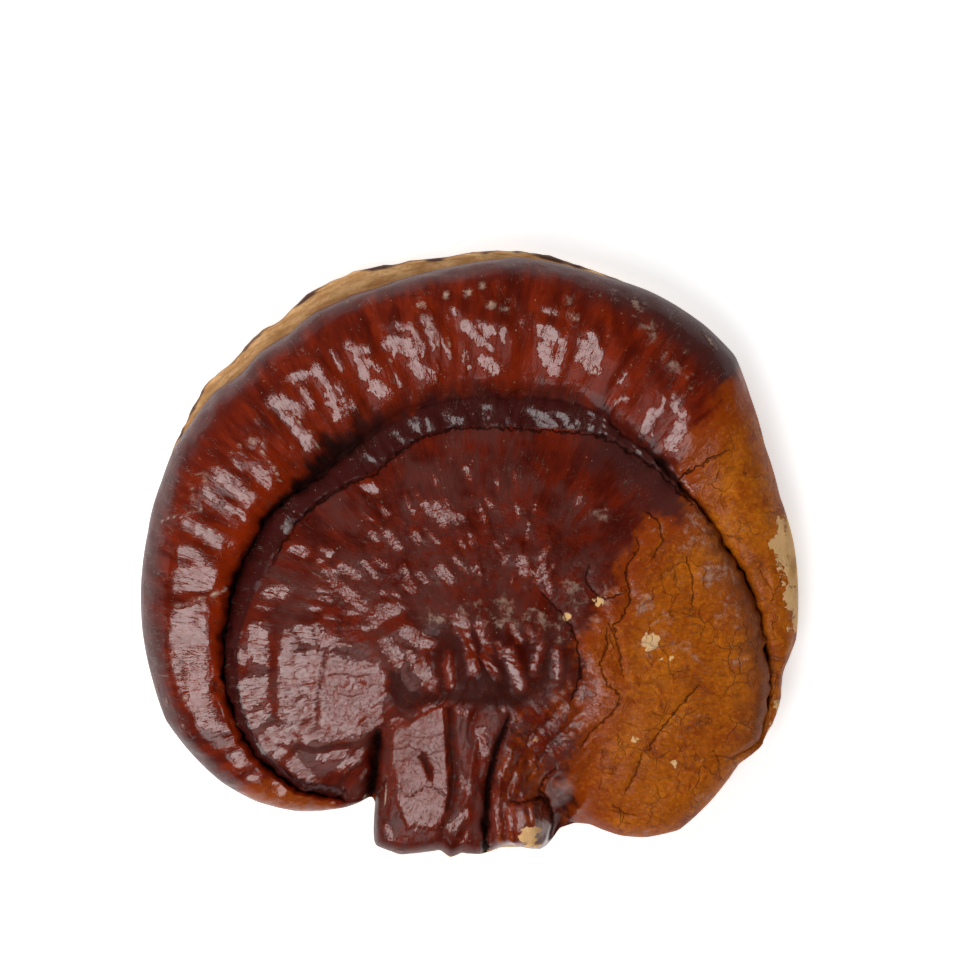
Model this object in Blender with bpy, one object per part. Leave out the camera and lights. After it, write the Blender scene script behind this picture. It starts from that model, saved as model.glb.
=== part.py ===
"""A dried reishi mushroom lying on its pore side: a fan-shaped cap with a thick outer roll, and the cut stub of
the stem that grew from its side. Cap and stem are one grown piece. Metres, +Z up, the stem towards -Y, and the
middle of the flat underside at the origin."""

import math

import bpy
import numpy as np

# Driving dimensions, in metres.
CAP_WIDTH = 0.1252
HUB_HEIGHT = 0.0216
LIP_THICKNESS = 0.0026
LIP_TOP = 0.0052
RIM_RISE = 0.0009
RIM_WIDTH = 0.0050
FOOT_INSET = 0.0100
MM = 0.001

# The share of the undercut by which the edge of the pores stays inside the roll where no lip shows.
LIP_TUCK = 0.7

# How finely the solid is divided.
SEGMENTS = 128
DENSER_FROM, DENSER_TO, DENSER_BY = 216, 304, 2.2
DISC_RINGS = 16
BAND_RINGS = 4
INNER_RINGS = 4
OUTER_RINGS = 6

# Readings of the photograph, which looks straight down: x to the right and y down, in its pixels.
CAP_WIDTH_PX = 658.0
HUB_PX = (475, 650)

# The outline seen from above, clockwise from the notch between the left lobe and the stem.
OUTLINE_PX = (
    (371, 797), (360, 802), (345, 808), (320, 812), (295, 812), (255, 802), (220, 782), (190, 753),
    (165, 720), (152, 680), (142, 630), (141, 580), (148, 530), (160, 478), (168, 452), (185, 420),
    (205, 380), (230, 362), (250, 338), (280, 318), (305, 293), (350, 270), (400, 261), (450, 254),
    (485, 249), (515, 248), (560, 257), (600, 270), (650, 290), (705, 325), (735, 355), (750, 395),
    (765, 445), (780, 495), (794, 540), (799, 590), (797, 640), (783, 672), (780, 705), (765, 738),
    (740, 762), (712, 800), (680, 830), (645, 838), (620, 836), (590, 825), (575, 824), (560, 829),
    (548, 845), (540, 849), (520, 846), (500, 847), (483, 854), (462, 852), (450, 857), (440, 849),
    (400, 854), (375, 845), (373, 835), (375, 803),
)

# The edge of the dark roll where the pale lip below it stands out further.
ROLL_EDGE_PX = (
    (157, 485), (180, 430), (200, 400), (225, 375), (250, 357), (275, 335), (300, 318), (350, 293),
    (400, 275), (450, 263), (500, 257), (550, 262), (600, 275), (650, 291),
)

# The shoulder where the disc of the cap ends, anticlockwise from the ragged end of the ring on the right.
SHOULDER_PX = (
    (744, 738), (750, 690), (744, 640), (726, 590), (712, 550), (700, 515), (675, 490), (640, 458),
    (600, 437), (525, 430), (455, 430), (412, 445), (378, 473), (325, 500), (285, 545), (258, 595),
    (243, 640), (243, 690), (262, 742), (300, 776), (346, 782),
)

# The bottom of the furrow between the disc and the outer roll, the same way round.
VALLEY_PX = (
    (757, 740), (768, 690), (763, 640), (750, 590), (725, 547), (700, 513), (680, 488), (655, 462),
    (620, 432), (590, 408), (550, 398), (500, 396), (450, 398), (410, 412), (365, 440), (325, 475),
    (280, 505), (245, 562), (228, 625), (226, 685), (250, 745), (290, 785), (335, 798), (360, 793),
)

# The top line of the roll, the same way round.
CREST_PX = (
    (763, 742), (772, 705), (775, 672), (775, 640), (764, 590), (745, 550), (722, 505), (700, 450),
    (660, 395), (600, 345), (525, 328), (450, 330), (385, 352), (330, 378), (270, 430), (218, 505),
    (192, 580), (186, 640), (190, 690), (222, 760), (280, 797), (320, 805), (358, 798),
)

# Bearing from the hub in degrees, anticlockwise from +X, and a height or a width there in millimetres.
SHOULDER_HEIGHT = (
    (0, 18.4), (45, 19.6), (90, 19.4), (135, 18.6), (180, 17.0), (205, 15.0), (225, 13.2), (232, 12.4),
    (238, 14.6), (242, 16.8), (262, 17.2), (286, 15.8), (291, 12.6), (295, 10.0), (300, 10.5),
    (306, 14.0), (318, 15.8), (345, 17.4),
)
VALLEY_HEIGHT = (
    (-17, 9.5), (0, 10.5), (20, 12.5), (45, 15.2), (70, 14.6), (90, 14.4), (120, 13.6), (150, 11.6),
    (180, 9.0), (205, 7.5), (222, 5.8), (231, 5.0),
)
CREST_HEIGHT = (
    (-17, 10.2), (0, 12.8), (20, 16.2), (45, 19.0), (70, 21.0), (90, 21.8), (120, 21.2), (150, 19.6),
    (180, 18.0), (205, 15.0), (222, 10.8), (231, 7.6),
)
WIDEST_HEIGHT = (
    (0, 5.5), (45, 8.0), (90, 9.2), (135, 9.0), (180, 7.6), (215, 5.8), (231, 4.4), (240, 6.5),
    (262, 7.0), (286, 6.5), (296, 5.0), (318, 6.4), (345, 6.2),
)
EDGE_ROUND = (
    (0, 8.5), (180, 8.0), (231, 3.4), (240, 3.4), (244, 3.6), (250, 4.2), (280, 4.2), (289, 2.4),
    (296, 4.5), (310, 7.5), (330, 9.0),
)
UNDERCUT = ((225, 1.3), (240, 0.2), (290, 0.2), (305, 1.3))

# How late the disc falls away towards its shoulder: the power of the share of the way from the hub.
DISC_FALL = (
    (150, 2.0), (185, 1.7), (222, 1.7), (232, 3.4), (240, 3.6), (262, 1.6), (288, 3.0), (298, 4.0), (312, 1.6),
    (345, 1.5),
)

# Where the outer ring ends: at the notch beside the stem, and at the ragged tip on the right.
RING_FROM, RING_TO, RING_FADE = -19.5, 233.5, 5.0

# Furrows in the top: route in pixels, half width and the depth at either end in millimetres.
FURROWS = {
    "slit": (((380, 720), (378, 745), (376, 772), (371, 800)), 1.2, 1.5, 8.0),
    "stem_split": (((496, 735), (490, 775), (487, 815), (487, 858)), 1.3, 0.8, 3.6),
    "stem_dip": (((456, 705), (456, 760), (452, 850)), 1.5, 0.6, 1.6),
    "boss_crack": (((552, 600), (573, 628), (579, 665), (568, 698)), 1.4, 1.0, 0.8),
    "lobe_fold": (((600, 735), (578, 775), (562, 832)), 2.6, 0.6, 3.5),
}

# Rises of the top: middle in pixels, radius and height in millimetres.
RISES = {
    "boss": ((486, 652), 11.0, 2.5),
    "lobe": ((665, 690), 17.0, 1.6),
    "stem_knob": ((528, 818), 4.2, 1.6),
    "stem_ridge": ((415, 790), 7.0, 1.0),
}

# Rounds of growth on the disc: distance from the hub in pixels, half width and height in millimetres.
GROWTH_ROUNDS = ((52, 2.6, -0.5), (90, 2.8, 0.25), (115, 2.2, -0.2), (142, 2.8, 0.25), (168, 2.4, -0.2))

# Lumps round the roll: how many to a full turn, their height in millimetres and where they start.
LUMPS = ((23, 0.45, 0.4), (37, 0.30, 2.1), (11, 0.35, 4.0))

PX = CAP_WIDTH / CAP_WIDTH_PX
TABLE_STEP = 0.25
TABLE_BEARINGS = np.arange(0, 360, TABLE_STEP)


def from_hub(points_px):
    """Places in metres from the hub, x to the right and y up the photograph."""
    points = np.array(points_px, float)
    return (points[:, 0] - HUB_PX[0]) * PX, (HUB_PX[1] - points[:, 1]) * PX


def smoothed(table, spread):
    """A table of one full turn, evened out over a spread of degrees."""
    turns = np.fft.rfftfreq(len(table), 1 / len(table))
    softening = np.exp(-0.5 * (turns * math.radians(spread)) ** 2)
    return np.fft.irfft(np.fft.rfft(table) * softening, len(table))


def around(bearings, values, spread):
    """A value for each step of a full turn, from the few that are given."""
    return smoothed(np.interp(TABLE_BEARINGS, bearings, values, period=360), spread)


def radius_around(points_px, spread):
    x, y = from_hub(points_px)
    return around(np.degrees(np.arctan2(y, x)), np.hypot(x, y), spread)


def height_around(pairs, spread=4.0):
    bearings, millimetres = np.array(pairs, float).T
    return around(bearings, millimetres * MM, spread)


def share_around(pairs, spread=4.0):
    bearings, shares = np.array(pairs, float).T
    return around(bearings, shares, spread)


def at(bearings, table):
    return np.interp(bearings, TABLE_BEARINGS, table, period=360)


def eased(value):
    """0 below 0 and 1 above 1, with a soft start and end."""
    t = np.clip(value, 0, 1)
    return t * t * (3 - 2 * t)


def ring_presence(bearings):
    """1 where the cap has its outer ring, 0 on the right lobe and the stem."""
    turned = (bearings - 90 + 180) % 360 - 90
    return eased((turned - RING_FROM) / RING_FADE) * eased((RING_TO - turned) / RING_FADE)


def segment_bearings():
    """One bearing for each segment, closer together round the stem."""
    fine = np.arange(0, 360, 0.1)
    weight = np.where((fine > DENSER_FROM) & (fine < DENSER_TO), DENSER_BY, 1.0)
    share = np.cumsum(weight) / weight.sum()
    return np.interp(np.arange(SEGMENTS) / SEGMENTS, share, fine)


def lip_reach(outline):
    """How far the pale lip stands out past the roll."""
    x, y = from_hub(ROLL_EDGE_PX)
    bearings, radii = np.degrees(np.arctan2(y, x)), np.hypot(x, y)
    reach = at(bearings, outline) - radii
    ends = (bearings.min() - 4, bearings.max() + 4)
    return around(np.append(bearings, ends), np.append(np.maximum(reach, 0), (0, 0)), 1.2)


def arc(low, high, turn, squareness):
    """Radius and height along a quarter round, from its top at turn 0 to its side at turn 1."""
    angle = turn * math.pi / 2
    across = np.sin(angle) ** (2 / squareness)
    down = np.cos(angle) ** (2 / squareness)
    return high[0] + (low[0] - high[0]) * across, low[1] + (high[1] - low[1]) * down


def profile(bearings):
    """Radius and height of each ring of the surface, from the hub over the top and back below to the foot."""
    outline = radius_around(OUTLINE_PX, 0.6)
    reach = at(bearings, lip_reach(outline))
    out = at(bearings, outline)
    edge = out - reach
    shoulder = at(bearings, radius_around(SHOULDER_PX, 2.0))
    valley = at(bearings, radius_around(VALLEY_PX, 2.0))
    crest = at(bearings, radius_around(CREST_PX, 2.0))
    shoulder_z = at(bearings, height_around(SHOULDER_HEIGHT, 1.5))
    valley_z = at(bearings, height_around(VALLEY_HEIGHT))
    crest_z = at(bearings, height_around(CREST_HEIGHT))
    edge_z = at(bearings, height_around(WIDEST_HEIGHT))
    rounding = at(bearings, height_around(EDGE_ROUND, 1.0))
    fall = at(bearings, share_around(DISC_FALL))
    ring = ring_presence(bearings)
    plain_shoulder = edge - rounding
    disc_edge = ring * shoulder + (1 - ring) * plain_shoulder
    rings = []
    for k in range(1, DISC_RINGS + 1):
        t = k / DISC_RINGS
        rings.append((disc_edge * t, shoulder_z + (HUB_HEIGHT - shoulder_z) * (1 - t**fall)))
    past_shoulder = BAND_RINGS + INNER_RINGS + OUTER_RINGS
    for k in range(1, past_shoulder + 1):
        plain = arc((edge, edge_z), (plain_shoulder, shoulder_z), k / past_shoulder, 2.3)
        if k <= BAND_RINGS:
            t = k / BAND_RINGS
            ringed = arc((valley, valley_z), (shoulder, shoulder_z), t, 2.0)
        elif k <= BAND_RINGS + INNER_RINGS:
            t = 1 - (k - BAND_RINGS) / INNER_RINGS
            ringed = arc((valley, valley_z), (crest, crest_z), t, 2.7)
        else:
            t = (k - BAND_RINGS - INNER_RINGS) / OUTER_RINGS
            ringed = arc((edge, edge_z), (crest, crest_z), t, 2.3)
        rings.append(tuple(ring * r + (1 - ring) * p for r, p in zip(ringed, plain)))
    return rings, edge, edge_z, reach


def underside(bearings, edge, edge_z, reach):
    """The rings below the widest line: the undercut, the lip, the rim of the pores and the flat foot."""
    undercut = at(bearings, height_around(UNDERCUT))
    lip = edge + reach - undercut * LIP_TUCK * (1 - eased(reach / (1.0 * MM)))
    lip_top = np.minimum(LIP_TOP, edge_z - 0.8 * MM)
    lip_foot = lip_top - LIP_THICKNESS
    bead = LIP_THICKNESS / 4
    return [
        (edge - undercut * 0.4, (edge_z + lip_top) / 2),
        (edge - undercut, lip_top),
        (lip - bead, lip_top - bead * 0.3),
        (lip, (lip_top + lip_foot) / 2),
        (lip - bead, lip_foot),
        (lip - RIM_WIDTH, np.full_like(lip, RIM_RISE)),
        (lip - FOOT_INSET, np.zeros_like(lip)),
        ((lip - FOOT_INSET) * 0.5, np.zeros_like(lip)),
    ]


def along_route(x, y, route_px):
    """The distance to a route and how far along it, 0 to 1, the nearest place is."""
    px, py = from_hub(route_px)
    nearest, share = np.full_like(x, np.inf), np.zeros_like(x)
    legs = np.hypot(np.diff(px), np.diff(py))
    starts = np.concatenate([[0], np.cumsum(legs)])
    for i, leg in enumerate(legs):
        dx, dy = (px[i + 1] - px[i]) / leg, (py[i + 1] - py[i]) / leg
        run = np.clip((x - px[i]) * dx + (y - py[i]) * dy, 0, leg)
        distance = np.hypot(x - px[i] - run * dx, y - py[i] - run * dy)
        closer = distance < nearest
        nearest = np.where(closer, distance, nearest)
        share = np.where(closer, (starts[i] + run) / starts[-1], share)
    return nearest, share


def relief(x, y, radius, bearings, disc, roll):
    """What stands up from the plain form or is sunk into it: rounds of growth, rises, lumps and furrows."""
    height = np.zeros_like(x)
    for distance_px, half_width, rise in GROWTH_ROUNDS:
        wave = np.exp(-(((radius - distance_px * PX) / (half_width * MM)) ** 2))
        height += disc * wave * rise * MM
    for middle_px, reach, rise in RISES.values():
        mx, my = from_hub([middle_px])
        height += rise * MM * np.exp(-(((x - mx) ** 2 + (y - my) ** 2) / (reach * MM) ** 2))
    for count, rise, start in LUMPS:
        height += roll * rise * MM * np.sin(count * np.radians(bearings) + start)
    for route_px, half_width, depth_from, depth_to in FURROWS.values():
        distance, share = along_route(x, y, route_px)
        depth = (depth_from + (depth_to - depth_from) * share) * MM
        height -= depth * np.exp(-((distance / (half_width * MM)) ** 2))
    return height


def surface():
    """All the points of the skin, ring by ring, and the two points that close it."""
    bearings = segment_bearings()
    top, edge, edge_z, reach = profile(bearings)
    ring = ring_presence(bearings)
    turn = np.radians(bearings)
    last = len(top) - 1
    crest_ring = DISC_RINGS + BAND_RINGS + INNER_RINGS - 1
    layers = []
    for k, (radius, height) in enumerate(top):
        x, y = radius * np.cos(turn), radius * np.sin(turn)
        fade = 1 - eased((k - last + 4) / 4)
        on_disc = 1.0 if k < DISC_RINGS - 1 else 0.0
        on_roll = ring * max(0.0, 1 - abs(k - crest_ring) / OUTER_RINGS)
        raised = relief(x, y, radius, bearings, on_disc, on_roll)
        floor = np.minimum(edge_z + 0.4 * MM, height)
        height = np.maximum(height + fade * raised, floor)
        layers.append(np.stack([x, y, height], axis=-1))
    for radius, height in underside(bearings, edge, edge_z, reach):
        layers.append(np.stack([radius * np.cos(turn), radius * np.sin(turn), height], axis=-1))
    points = np.array(layers)
    low, high = points.reshape(-1, 3).min(0), points.reshape(-1, 3).max(0)
    middle = np.array([(low[0] + high[0]) / 2, (low[1] + high[1]) / 2, 0])
    origin = np.zeros(1)
    hub_rise = relief(origin, origin, origin, origin, 1.0, 0.0)[0]
    hub = np.array([0, 0, HUB_HEIGHT + hub_rise])
    return points - middle, hub - middle, -middle


def skin_faces(points, hub, foot):
    """Faces between each ring and the next, split along the shorter diagonal so that furrows run clean, and the
    fans round the hub and under the foot."""
    rings, segments = points.shape[:2]
    onward = np.roll(points, -1, axis=1)
    rising = np.linalg.norm(points[:-1] - onward[1:], axis=-1)
    falling = np.linalg.norm(onward[:-1] - points[1:], axis=-1)
    faces = []
    for i in range(segments):
        j = (i + 1) % segments
        faces.append((hub, i, j))
        for k in range(rings - 1):
            a, b = k * segments, (k + 1) * segments
            if rising[k, i] <= falling[k, i]:
                faces.append((a + i, b + i, b + j))
                faces.append((a + i, b + j, a + j))
            else:
                faces.append((a + i, b + i, a + j))
                faces.append((b + i, b + j, a + j))
        last = (rings - 1) * segments
        faces.append((last + i, foot, last + j))
    return faces


def lacquer():
    material = bpy.data.materials.new("reishi_lacquer")
    material.use_nodes = True
    shader = material.node_tree.nodes["Principled BSDF"]
    shader.inputs["Base Color"].default_value = (0.115, 0.022, 0.012, 1)
    shader.inputs["Roughness"].default_value = 0.28
    shader.inputs["Metallic"].default_value = 0.0
    material.diffuse_color = (0.25, 0.07, 0.04, 1)
    return material


def build_mushroom():
    points, hub, foot = surface()
    skin = points.reshape(-1, 3)
    places = np.vstack([skin, hub, foot])
    faces = skin_faces(points, len(skin), len(skin) + 1)
    mesh = bpy.data.meshes.new("reishi_mushroom")
    mesh.from_pydata(places.tolist(), [], faces)
    mesh.validate()
    mushroom = bpy.data.objects.new("reishi_mushroom", mesh)
    bpy.context.scene.collection.objects.link(mushroom)
    mesh.materials.append(lacquer())
    mesh.polygons.foreach_set("use_smooth", [True] * len(mesh.polygons))
    mesh.update()


def main():
    for item in list(bpy.data.objects):
        bpy.data.objects.remove(item, do_unlink=True)
    build_mushroom()


main()
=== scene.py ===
"""Dresses the reishi mushroom: the lacquered cap and stem, the pale pore side, and the stage."""

import functools
import math

import bpy
import numpy as np
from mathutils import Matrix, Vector


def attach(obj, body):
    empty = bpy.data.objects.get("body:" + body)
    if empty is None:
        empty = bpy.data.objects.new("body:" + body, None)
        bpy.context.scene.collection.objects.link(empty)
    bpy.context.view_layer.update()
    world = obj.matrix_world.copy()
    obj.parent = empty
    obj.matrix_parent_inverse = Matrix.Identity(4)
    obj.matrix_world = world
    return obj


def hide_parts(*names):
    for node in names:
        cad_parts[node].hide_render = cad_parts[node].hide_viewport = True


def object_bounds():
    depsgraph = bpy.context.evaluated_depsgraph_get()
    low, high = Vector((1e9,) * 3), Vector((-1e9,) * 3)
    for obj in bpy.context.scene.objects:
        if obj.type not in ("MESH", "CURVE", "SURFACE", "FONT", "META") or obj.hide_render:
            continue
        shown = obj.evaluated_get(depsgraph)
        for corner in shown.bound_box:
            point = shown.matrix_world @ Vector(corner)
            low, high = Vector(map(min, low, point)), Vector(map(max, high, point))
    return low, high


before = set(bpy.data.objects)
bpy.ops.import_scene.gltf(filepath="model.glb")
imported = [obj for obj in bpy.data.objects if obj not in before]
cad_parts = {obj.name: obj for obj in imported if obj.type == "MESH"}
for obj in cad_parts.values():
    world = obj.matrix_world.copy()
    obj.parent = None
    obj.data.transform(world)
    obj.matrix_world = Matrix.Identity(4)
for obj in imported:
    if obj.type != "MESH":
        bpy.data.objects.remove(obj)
CAD_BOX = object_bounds()

bl_info = {
    "name": "Reishi mushroom",
    "version": (1, 0, 0),
    "blender": (4, 5, 0),
    "location": "View3D > Sidebar > Reishi",
    "description": "Grows a lacquered reishi mushroom with its pore side, and sets its stage",
    "category": "Object",
}

MM = 0.001
BODY = "root"
NODE = "reishi_mushroom"

# Readings of the photograph, which looks straight down: x to the right and y down, in its pixels.
PHOTO_SIDE_PX = 969
CAP_WIDTH_PX = 658.0
CAP_MIDDLE_PX = (470, 552.5)
HUB_PX = (475, 650)
PX = (CAD_BOX[1][0] - CAD_BOX[0][0]) / CAP_WIDTH_PX

# The stage: the main softbox, the point that every softbox faces, the fills with their place, sides, power
# and whether the lacquer mirrors them, the floor's side, and the camera's sensor width in millimetres.
SOFTBOX_PLACE, SOFTBOX_POWER, SOFTBOX_AIM = (-0.17, -0.31, 0.72), 3.2, (0, 0, 0.01)
FILLS = {
    "left_fill": ((-0.9, -0.2, 0.25), (0.5, 0.35), 0.4, True),
    "back_fill": ((-0.40, 0.60, 0.70), (1.0, 1.0), 5.2, False),
}
FLOOR_SIDE, SENSOR_WIDTH = 6, 36

# The outline seen from above, clockwise from the notch between the left lobe and the stem.
OUTLINE_PX = (
    (371, 797), (360, 802), (345, 808), (320, 812), (295, 812), (255, 802), (220, 782), (190, 753),
    (165, 720), (152, 680), (142, 630), (141, 580), (148, 530), (160, 478), (168, 452), (185, 420),
    (205, 380), (230, 362), (250, 338), (280, 318), (305, 293), (350, 270), (400, 261), (450, 254),
    (485, 249), (515, 248), (560, 257), (600, 270), (650, 290), (705, 325), (735, 355), (750, 395),
    (765, 445), (780, 495), (794, 540), (799, 590), (797, 640), (783, 672), (780, 705), (765, 738),
    (740, 762), (712, 800), (680, 830), (645, 838), (620, 836), (590, 825), (575, 824), (560, 829),
    (548, 845), (540, 849), (520, 846), (500, 847), (483, 854), (462, 852), (450, 857), (440, 849),
    (400, 854), (375, 845), (373, 835), (375, 803),
)
ROLL_EDGE_PX = (
    (160, 485), (184, 432), (205, 403), (218, 390), (233, 379), (252, 361), (278, 340), (304, 320),
    (320, 310), (350, 296), (375, 289), (400, 279), (450, 267), (500, 259), (530, 258), (550, 262),
    (600, 275), (650, 291),
)
SHOULDER_PX = (
    (744, 738), (750, 690), (744, 640), (726, 590), (712, 550), (700, 515), (675, 490), (640, 458),
    (600, 437), (525, 430), (455, 430), (412, 445), (378, 473), (325, 500), (285, 545), (258, 595),
    (243, 640), (243, 690), (262, 742), (300, 776), (346, 782),
)
VALLEY_PX = (
    (757, 740), (768, 690), (763, 640), (750, 590), (725, 547), (700, 513), (680, 488), (655, 462),
    (620, 432), (590, 408), (550, 398), (500, 396), (450, 398), (410, 412), (365, 440), (325, 475),
    (280, 505), (245, 562), (228, 625), (226, 685), (250, 745), (290, 785), (335, 798), (360, 793),
)
CREST_PX = (
    (763, 742), (772, 705), (775, 672), (775, 640), (764, 590), (750, 548), (735, 517), (715, 441),
    (672, 379), (604, 330), (529, 310), (445, 309), (377, 329), (321, 360), (284, 396), (252, 442),
    (221, 503), (203, 577), (207, 641), (217, 695), (248, 756), (289, 790), (322, 803), (358, 798),
)

# Bearing from the hub in degrees, anticlockwise from +X, and a height or a width there in millimetres.
SHOULDER_HEIGHT = (
    (0, 18.4), (45, 19.0), (90, 18.7), (135, 18.3), (180, 17.0), (205, 15.0), (225, 13.2), (230, 12.4),
    (233, 13.6), (236, 16.4), (242, 17.0), (262, 17.2), (286, 15.8), (291, 12.6), (295, 10.0),
    (300, 10.5), (306, 14.0), (318, 15.8), (345, 17.4),
)
VALLEY_HEIGHT = (
    (-17, 9.5), (0, 10.5), (20, 12.5), (40, 15.2), (55, 16.8), (70, 17.2), (90, 17.2), (110, 16.8),
    (125, 15.6), (150, 12.0), (180, 9.0), (205, 7.5), (222, 5.8), (231, 5.0),
)
CREST_HEIGHT = (
    (-17, 10.2), (0, 12.8), (20, 16.2), (45, 19.4), (70, 21.6), (90, 22.1), (120, 21.4), (150, 19.6),
    (180, 18.0), (205, 15.0), (222, 10.8), (231, 7.6),
)
WIDEST_HEIGHT = (
    (0, 5.5), (45, 8.0), (90, 9.2), (135, 9.0), (180, 7.6), (215, 5.8), (231, 4.4), (240, 6.5),
    (262, 7.0), (286, 6.5), (296, 5.0), (318, 6.4), (345, 6.2),
)
EDGE_ROUND = (
    (0, 4.4), (10, 8.5), (180, 8.0), (231, 3.4), (240, 3.4), (244, 3.6), (250, 4.2), (280, 4.2),
    (289, 2.4), (296, 4.5), (310, 7.5), (324, 8.0), (334, 6.0), (342, 4.4),
)
UNDERCUT = ((225, 1.3), (240, 0.2), (290, 0.2), (305, 1.3))
DISC_FALL = (
    (150, 2.0), (185, 1.7), (222, 1.7), (232, 3.4), (240, 3.6), (262, 1.6), (288, 3.0), (298, 4.0),
    (312, 1.6), (345, 1.5),
)
RING_FROM, RING_TO, RING_START_FADE, RING_FADE = -25.0, 230.5, 10.0, 4.0

# Heights and widths of the form, in metres.
HUB_HEIGHT = 0.0216
TOP_EASED = 0.0234
LIP_TOP = 0.0052
CRUST_FOOT = LIP_TOP - 1.2 * MM
LIP_THICKNESS = 0.0026
RIM_RISE = 0.0009
RIM_WIDTH = 0.0050
FOOT_INSET = 0.0100
STAR_RADIUS = 0.030

# How much of the undercut the bare lip follows.
LIP_TUCK = 0.7

# How finely each piece is divided.
CRUST_SEGMENTS = 640
STEM_FROM, STEM_TO, STEM_DENSER = 214, 306, 1.7
DISC_RINGS, BAND_RINGS, INNER_RINGS, OUTER_RINGS = 78, 14, 27, 28
PORE_SEGMENTS, PORE_STEM_DENSER = 420, 1.3

# Cracks, dark at the bottom: route in pixels, half width and the depth at either end in millimetres.
CRACKS = {
    "slit": (((380, 722), (379, 737), (377, 755), (376, 772), (372, 786), (370, 802)), 0.62, 1.6, 8.5),
    "stem_split": (((511, 702), (505, 722), (496, 745), (489, 775), (486, 815), (485, 860)), 0.50, 0.5, 4.2),
    "stem_crease_a": (((393, 746), (410, 741), (428, 750), (446, 745)), 0.16, 0.18, 0.12),
    "stem_crease_b": (((394, 757), (412, 754), (424, 760)), 0.14, 0.14, 0.12),
    "stem_crease_d": (((400, 730), (425, 733), (446, 728)), 0.14, 0.12, 0.12),
    "boss_crack": (
        ((536, 586), (548, 598), (562, 611), (573, 632), (578, 655), (579, 672), (570, 695)), 0.26, 0.6, 0.9
    ),
    "mid_crack": (
        ((632, 530), (637, 545), (629, 557), (623, 570), (628, 597), (618, 618), (611, 622), (617, 650),
         (619, 668)), 0.24, 0.5, 0.5
    ),
    "low_crack": (((618, 690), (614, 703), (600, 718), (588, 730), (580, 740)), 0.26, 0.4, 0.7),
    "knob_edge": (((506, 798), (525, 796), (541, 794), (550, 806), (553, 822), (550, 838)), 0.28, 0.6, 0.8),
    "knob_crack": (((556, 762), (543, 776), (539, 786), (548, 799)), 0.26, 0.4, 0.7),
    "lobe_line": (((328, 672), (345, 670), (357, 673), (370, 671)), 0.14, 0.20, 0.16),
    "lobe_line_b": (((338, 690), (352, 693), (362, 690)), 0.14, 0.16, 0.16),
    "lobe_crack_a": (((682, 552), (690, 577), (688, 602)), 0.20, 0.3, 0.4),
    "lobe_crack_b": (((700, 676), (685, 692), (672, 707), (660, 722), (647, 744)), 0.22, 0.35, 0.4),
    "lobe_crack_c": (((641, 746), (636, 760), (632, 772), (625, 786)), 0.20, 0.3, 0.3),
    "lobe_crack_d": (((710, 744), (716, 760), (718, 775)), 0.20, 0.3, 0.2),
    "lobe_crack_e": (((610, 800), (620, 808), (634, 812)), 0.20, 0.3, 0.2),
    "plate_crack_a": (((590, 560), (583, 575), (590, 590), (604, 596), (618, 592)), 0.20, 0.35, 0.3),
    "plate_crack_b": (((603, 620), (606, 640), (598, 660), (604, 680), (618, 690)), 0.22, 0.35, 0.4),
    "plate_crack_c": (((640, 508), (655, 520), (660, 540), (650, 556)), 0.20, 0.3, 0.3),
    "shelf_crack": (((357, 741), (335, 743), (318, 747), (300, 742)), 0.34, 0.2, 0.16),
    "ring_crease": (((672, 480), (690, 470), (708, 458), (722, 452)), 0.35, 0.7, 0.3),
}

# From this depth at its end, in millimetres, a crack counts as deep.
DEEP_CRACK = 2

# Hollows between the folds, given as the cracks are; their colour is painted dark as shade.
HOLLOWS = {
    "stem_dip": (((451, 706), (452, 740), (455, 775), (451, 803)), 0.75, 0.7, 0.6),
    "stem_side": (((376, 738), (374, 780), (369, 850)), 1.5, 1.6, 2.6),
    "stem_pit": (((424, 752), (428, 760), (432, 772)), 0.66, 0.75, 0.7),
    "lobe_crease": (((327, 651), (323, 677), (319, 695), (319, 716), (316, 729)), 0.42, 0.35, 0.35),
    "lobe_wedge": (((275, 716), (290, 721), (305, 719), (320, 714)), 0.42, 0.4, 0.3),
    "lobe_top_crease": (((314, 622), (318, 636), (322, 648)), 0.36, 0.3, 0.3),
    "lobe_side_crease": (((295, 628), (303, 640), (308, 652)), 0.36, 0.3, 0.3),
    "lobe_low_crease": (((296, 700), (304, 694), (312, 697)), 0.40, 0.3, 0.2),
    "roll_dent_a": (((186, 664), (189, 684), (184, 696)), 0.55, 0.35, 0.3),
    "roll_dent_b": (((204, 604), (198, 616), (205, 628)), 0.42, 0.3, 0.2),
    "stem_crease_c": (
        ((393, 772), (402, 786), (411, 793), (422, 783), (434, 782), (445, 789)), 0.4, 0.25, 0.3
    ),
    "trunk_fork": (((388, 684), (398, 702), (412, 716)), 0.6, 0.35, 0.3),
    "second_fork": (((477, 705), (470, 722), (472, 742)), 0.6, 0.4, 0.2),
    "wrinkle_a": (((520, 750), (512, 770), (507, 790)), 0.32, 0.35, 0.3),
    "wrinkle_b": (((533, 763), (523, 780), (517, 793)), 0.32, 0.35, 0.3),
    "wrinkle_c": (((546, 744), (536, 760), (528, 774)), 0.32, 0.35, 0.3),
    "slope_a": (((586, 744), (571, 760), (553, 775)), 0.3, 0.4, 0.3),
    "slope_b": (((590, 765), (576, 778), (560, 795)), 0.28, 0.3, 0.3),
    "upper_a": (((560, 700), (548, 715), (532, 728), (523, 742)), 0.42, 0.6, 0.5),
    "upper_b": (((577, 710), (561, 728), (546, 742)), 0.32, 0.4, 0.4),
    "upper_c": (((511, 724), (522, 731), (535, 723)), 0.36, 0.5, 0.4),
    "lobe_fold": (((596, 742), (585, 765), (577, 790), (566, 812), (559, 834)), 2.3, 0.6, 3.6),
}

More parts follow.
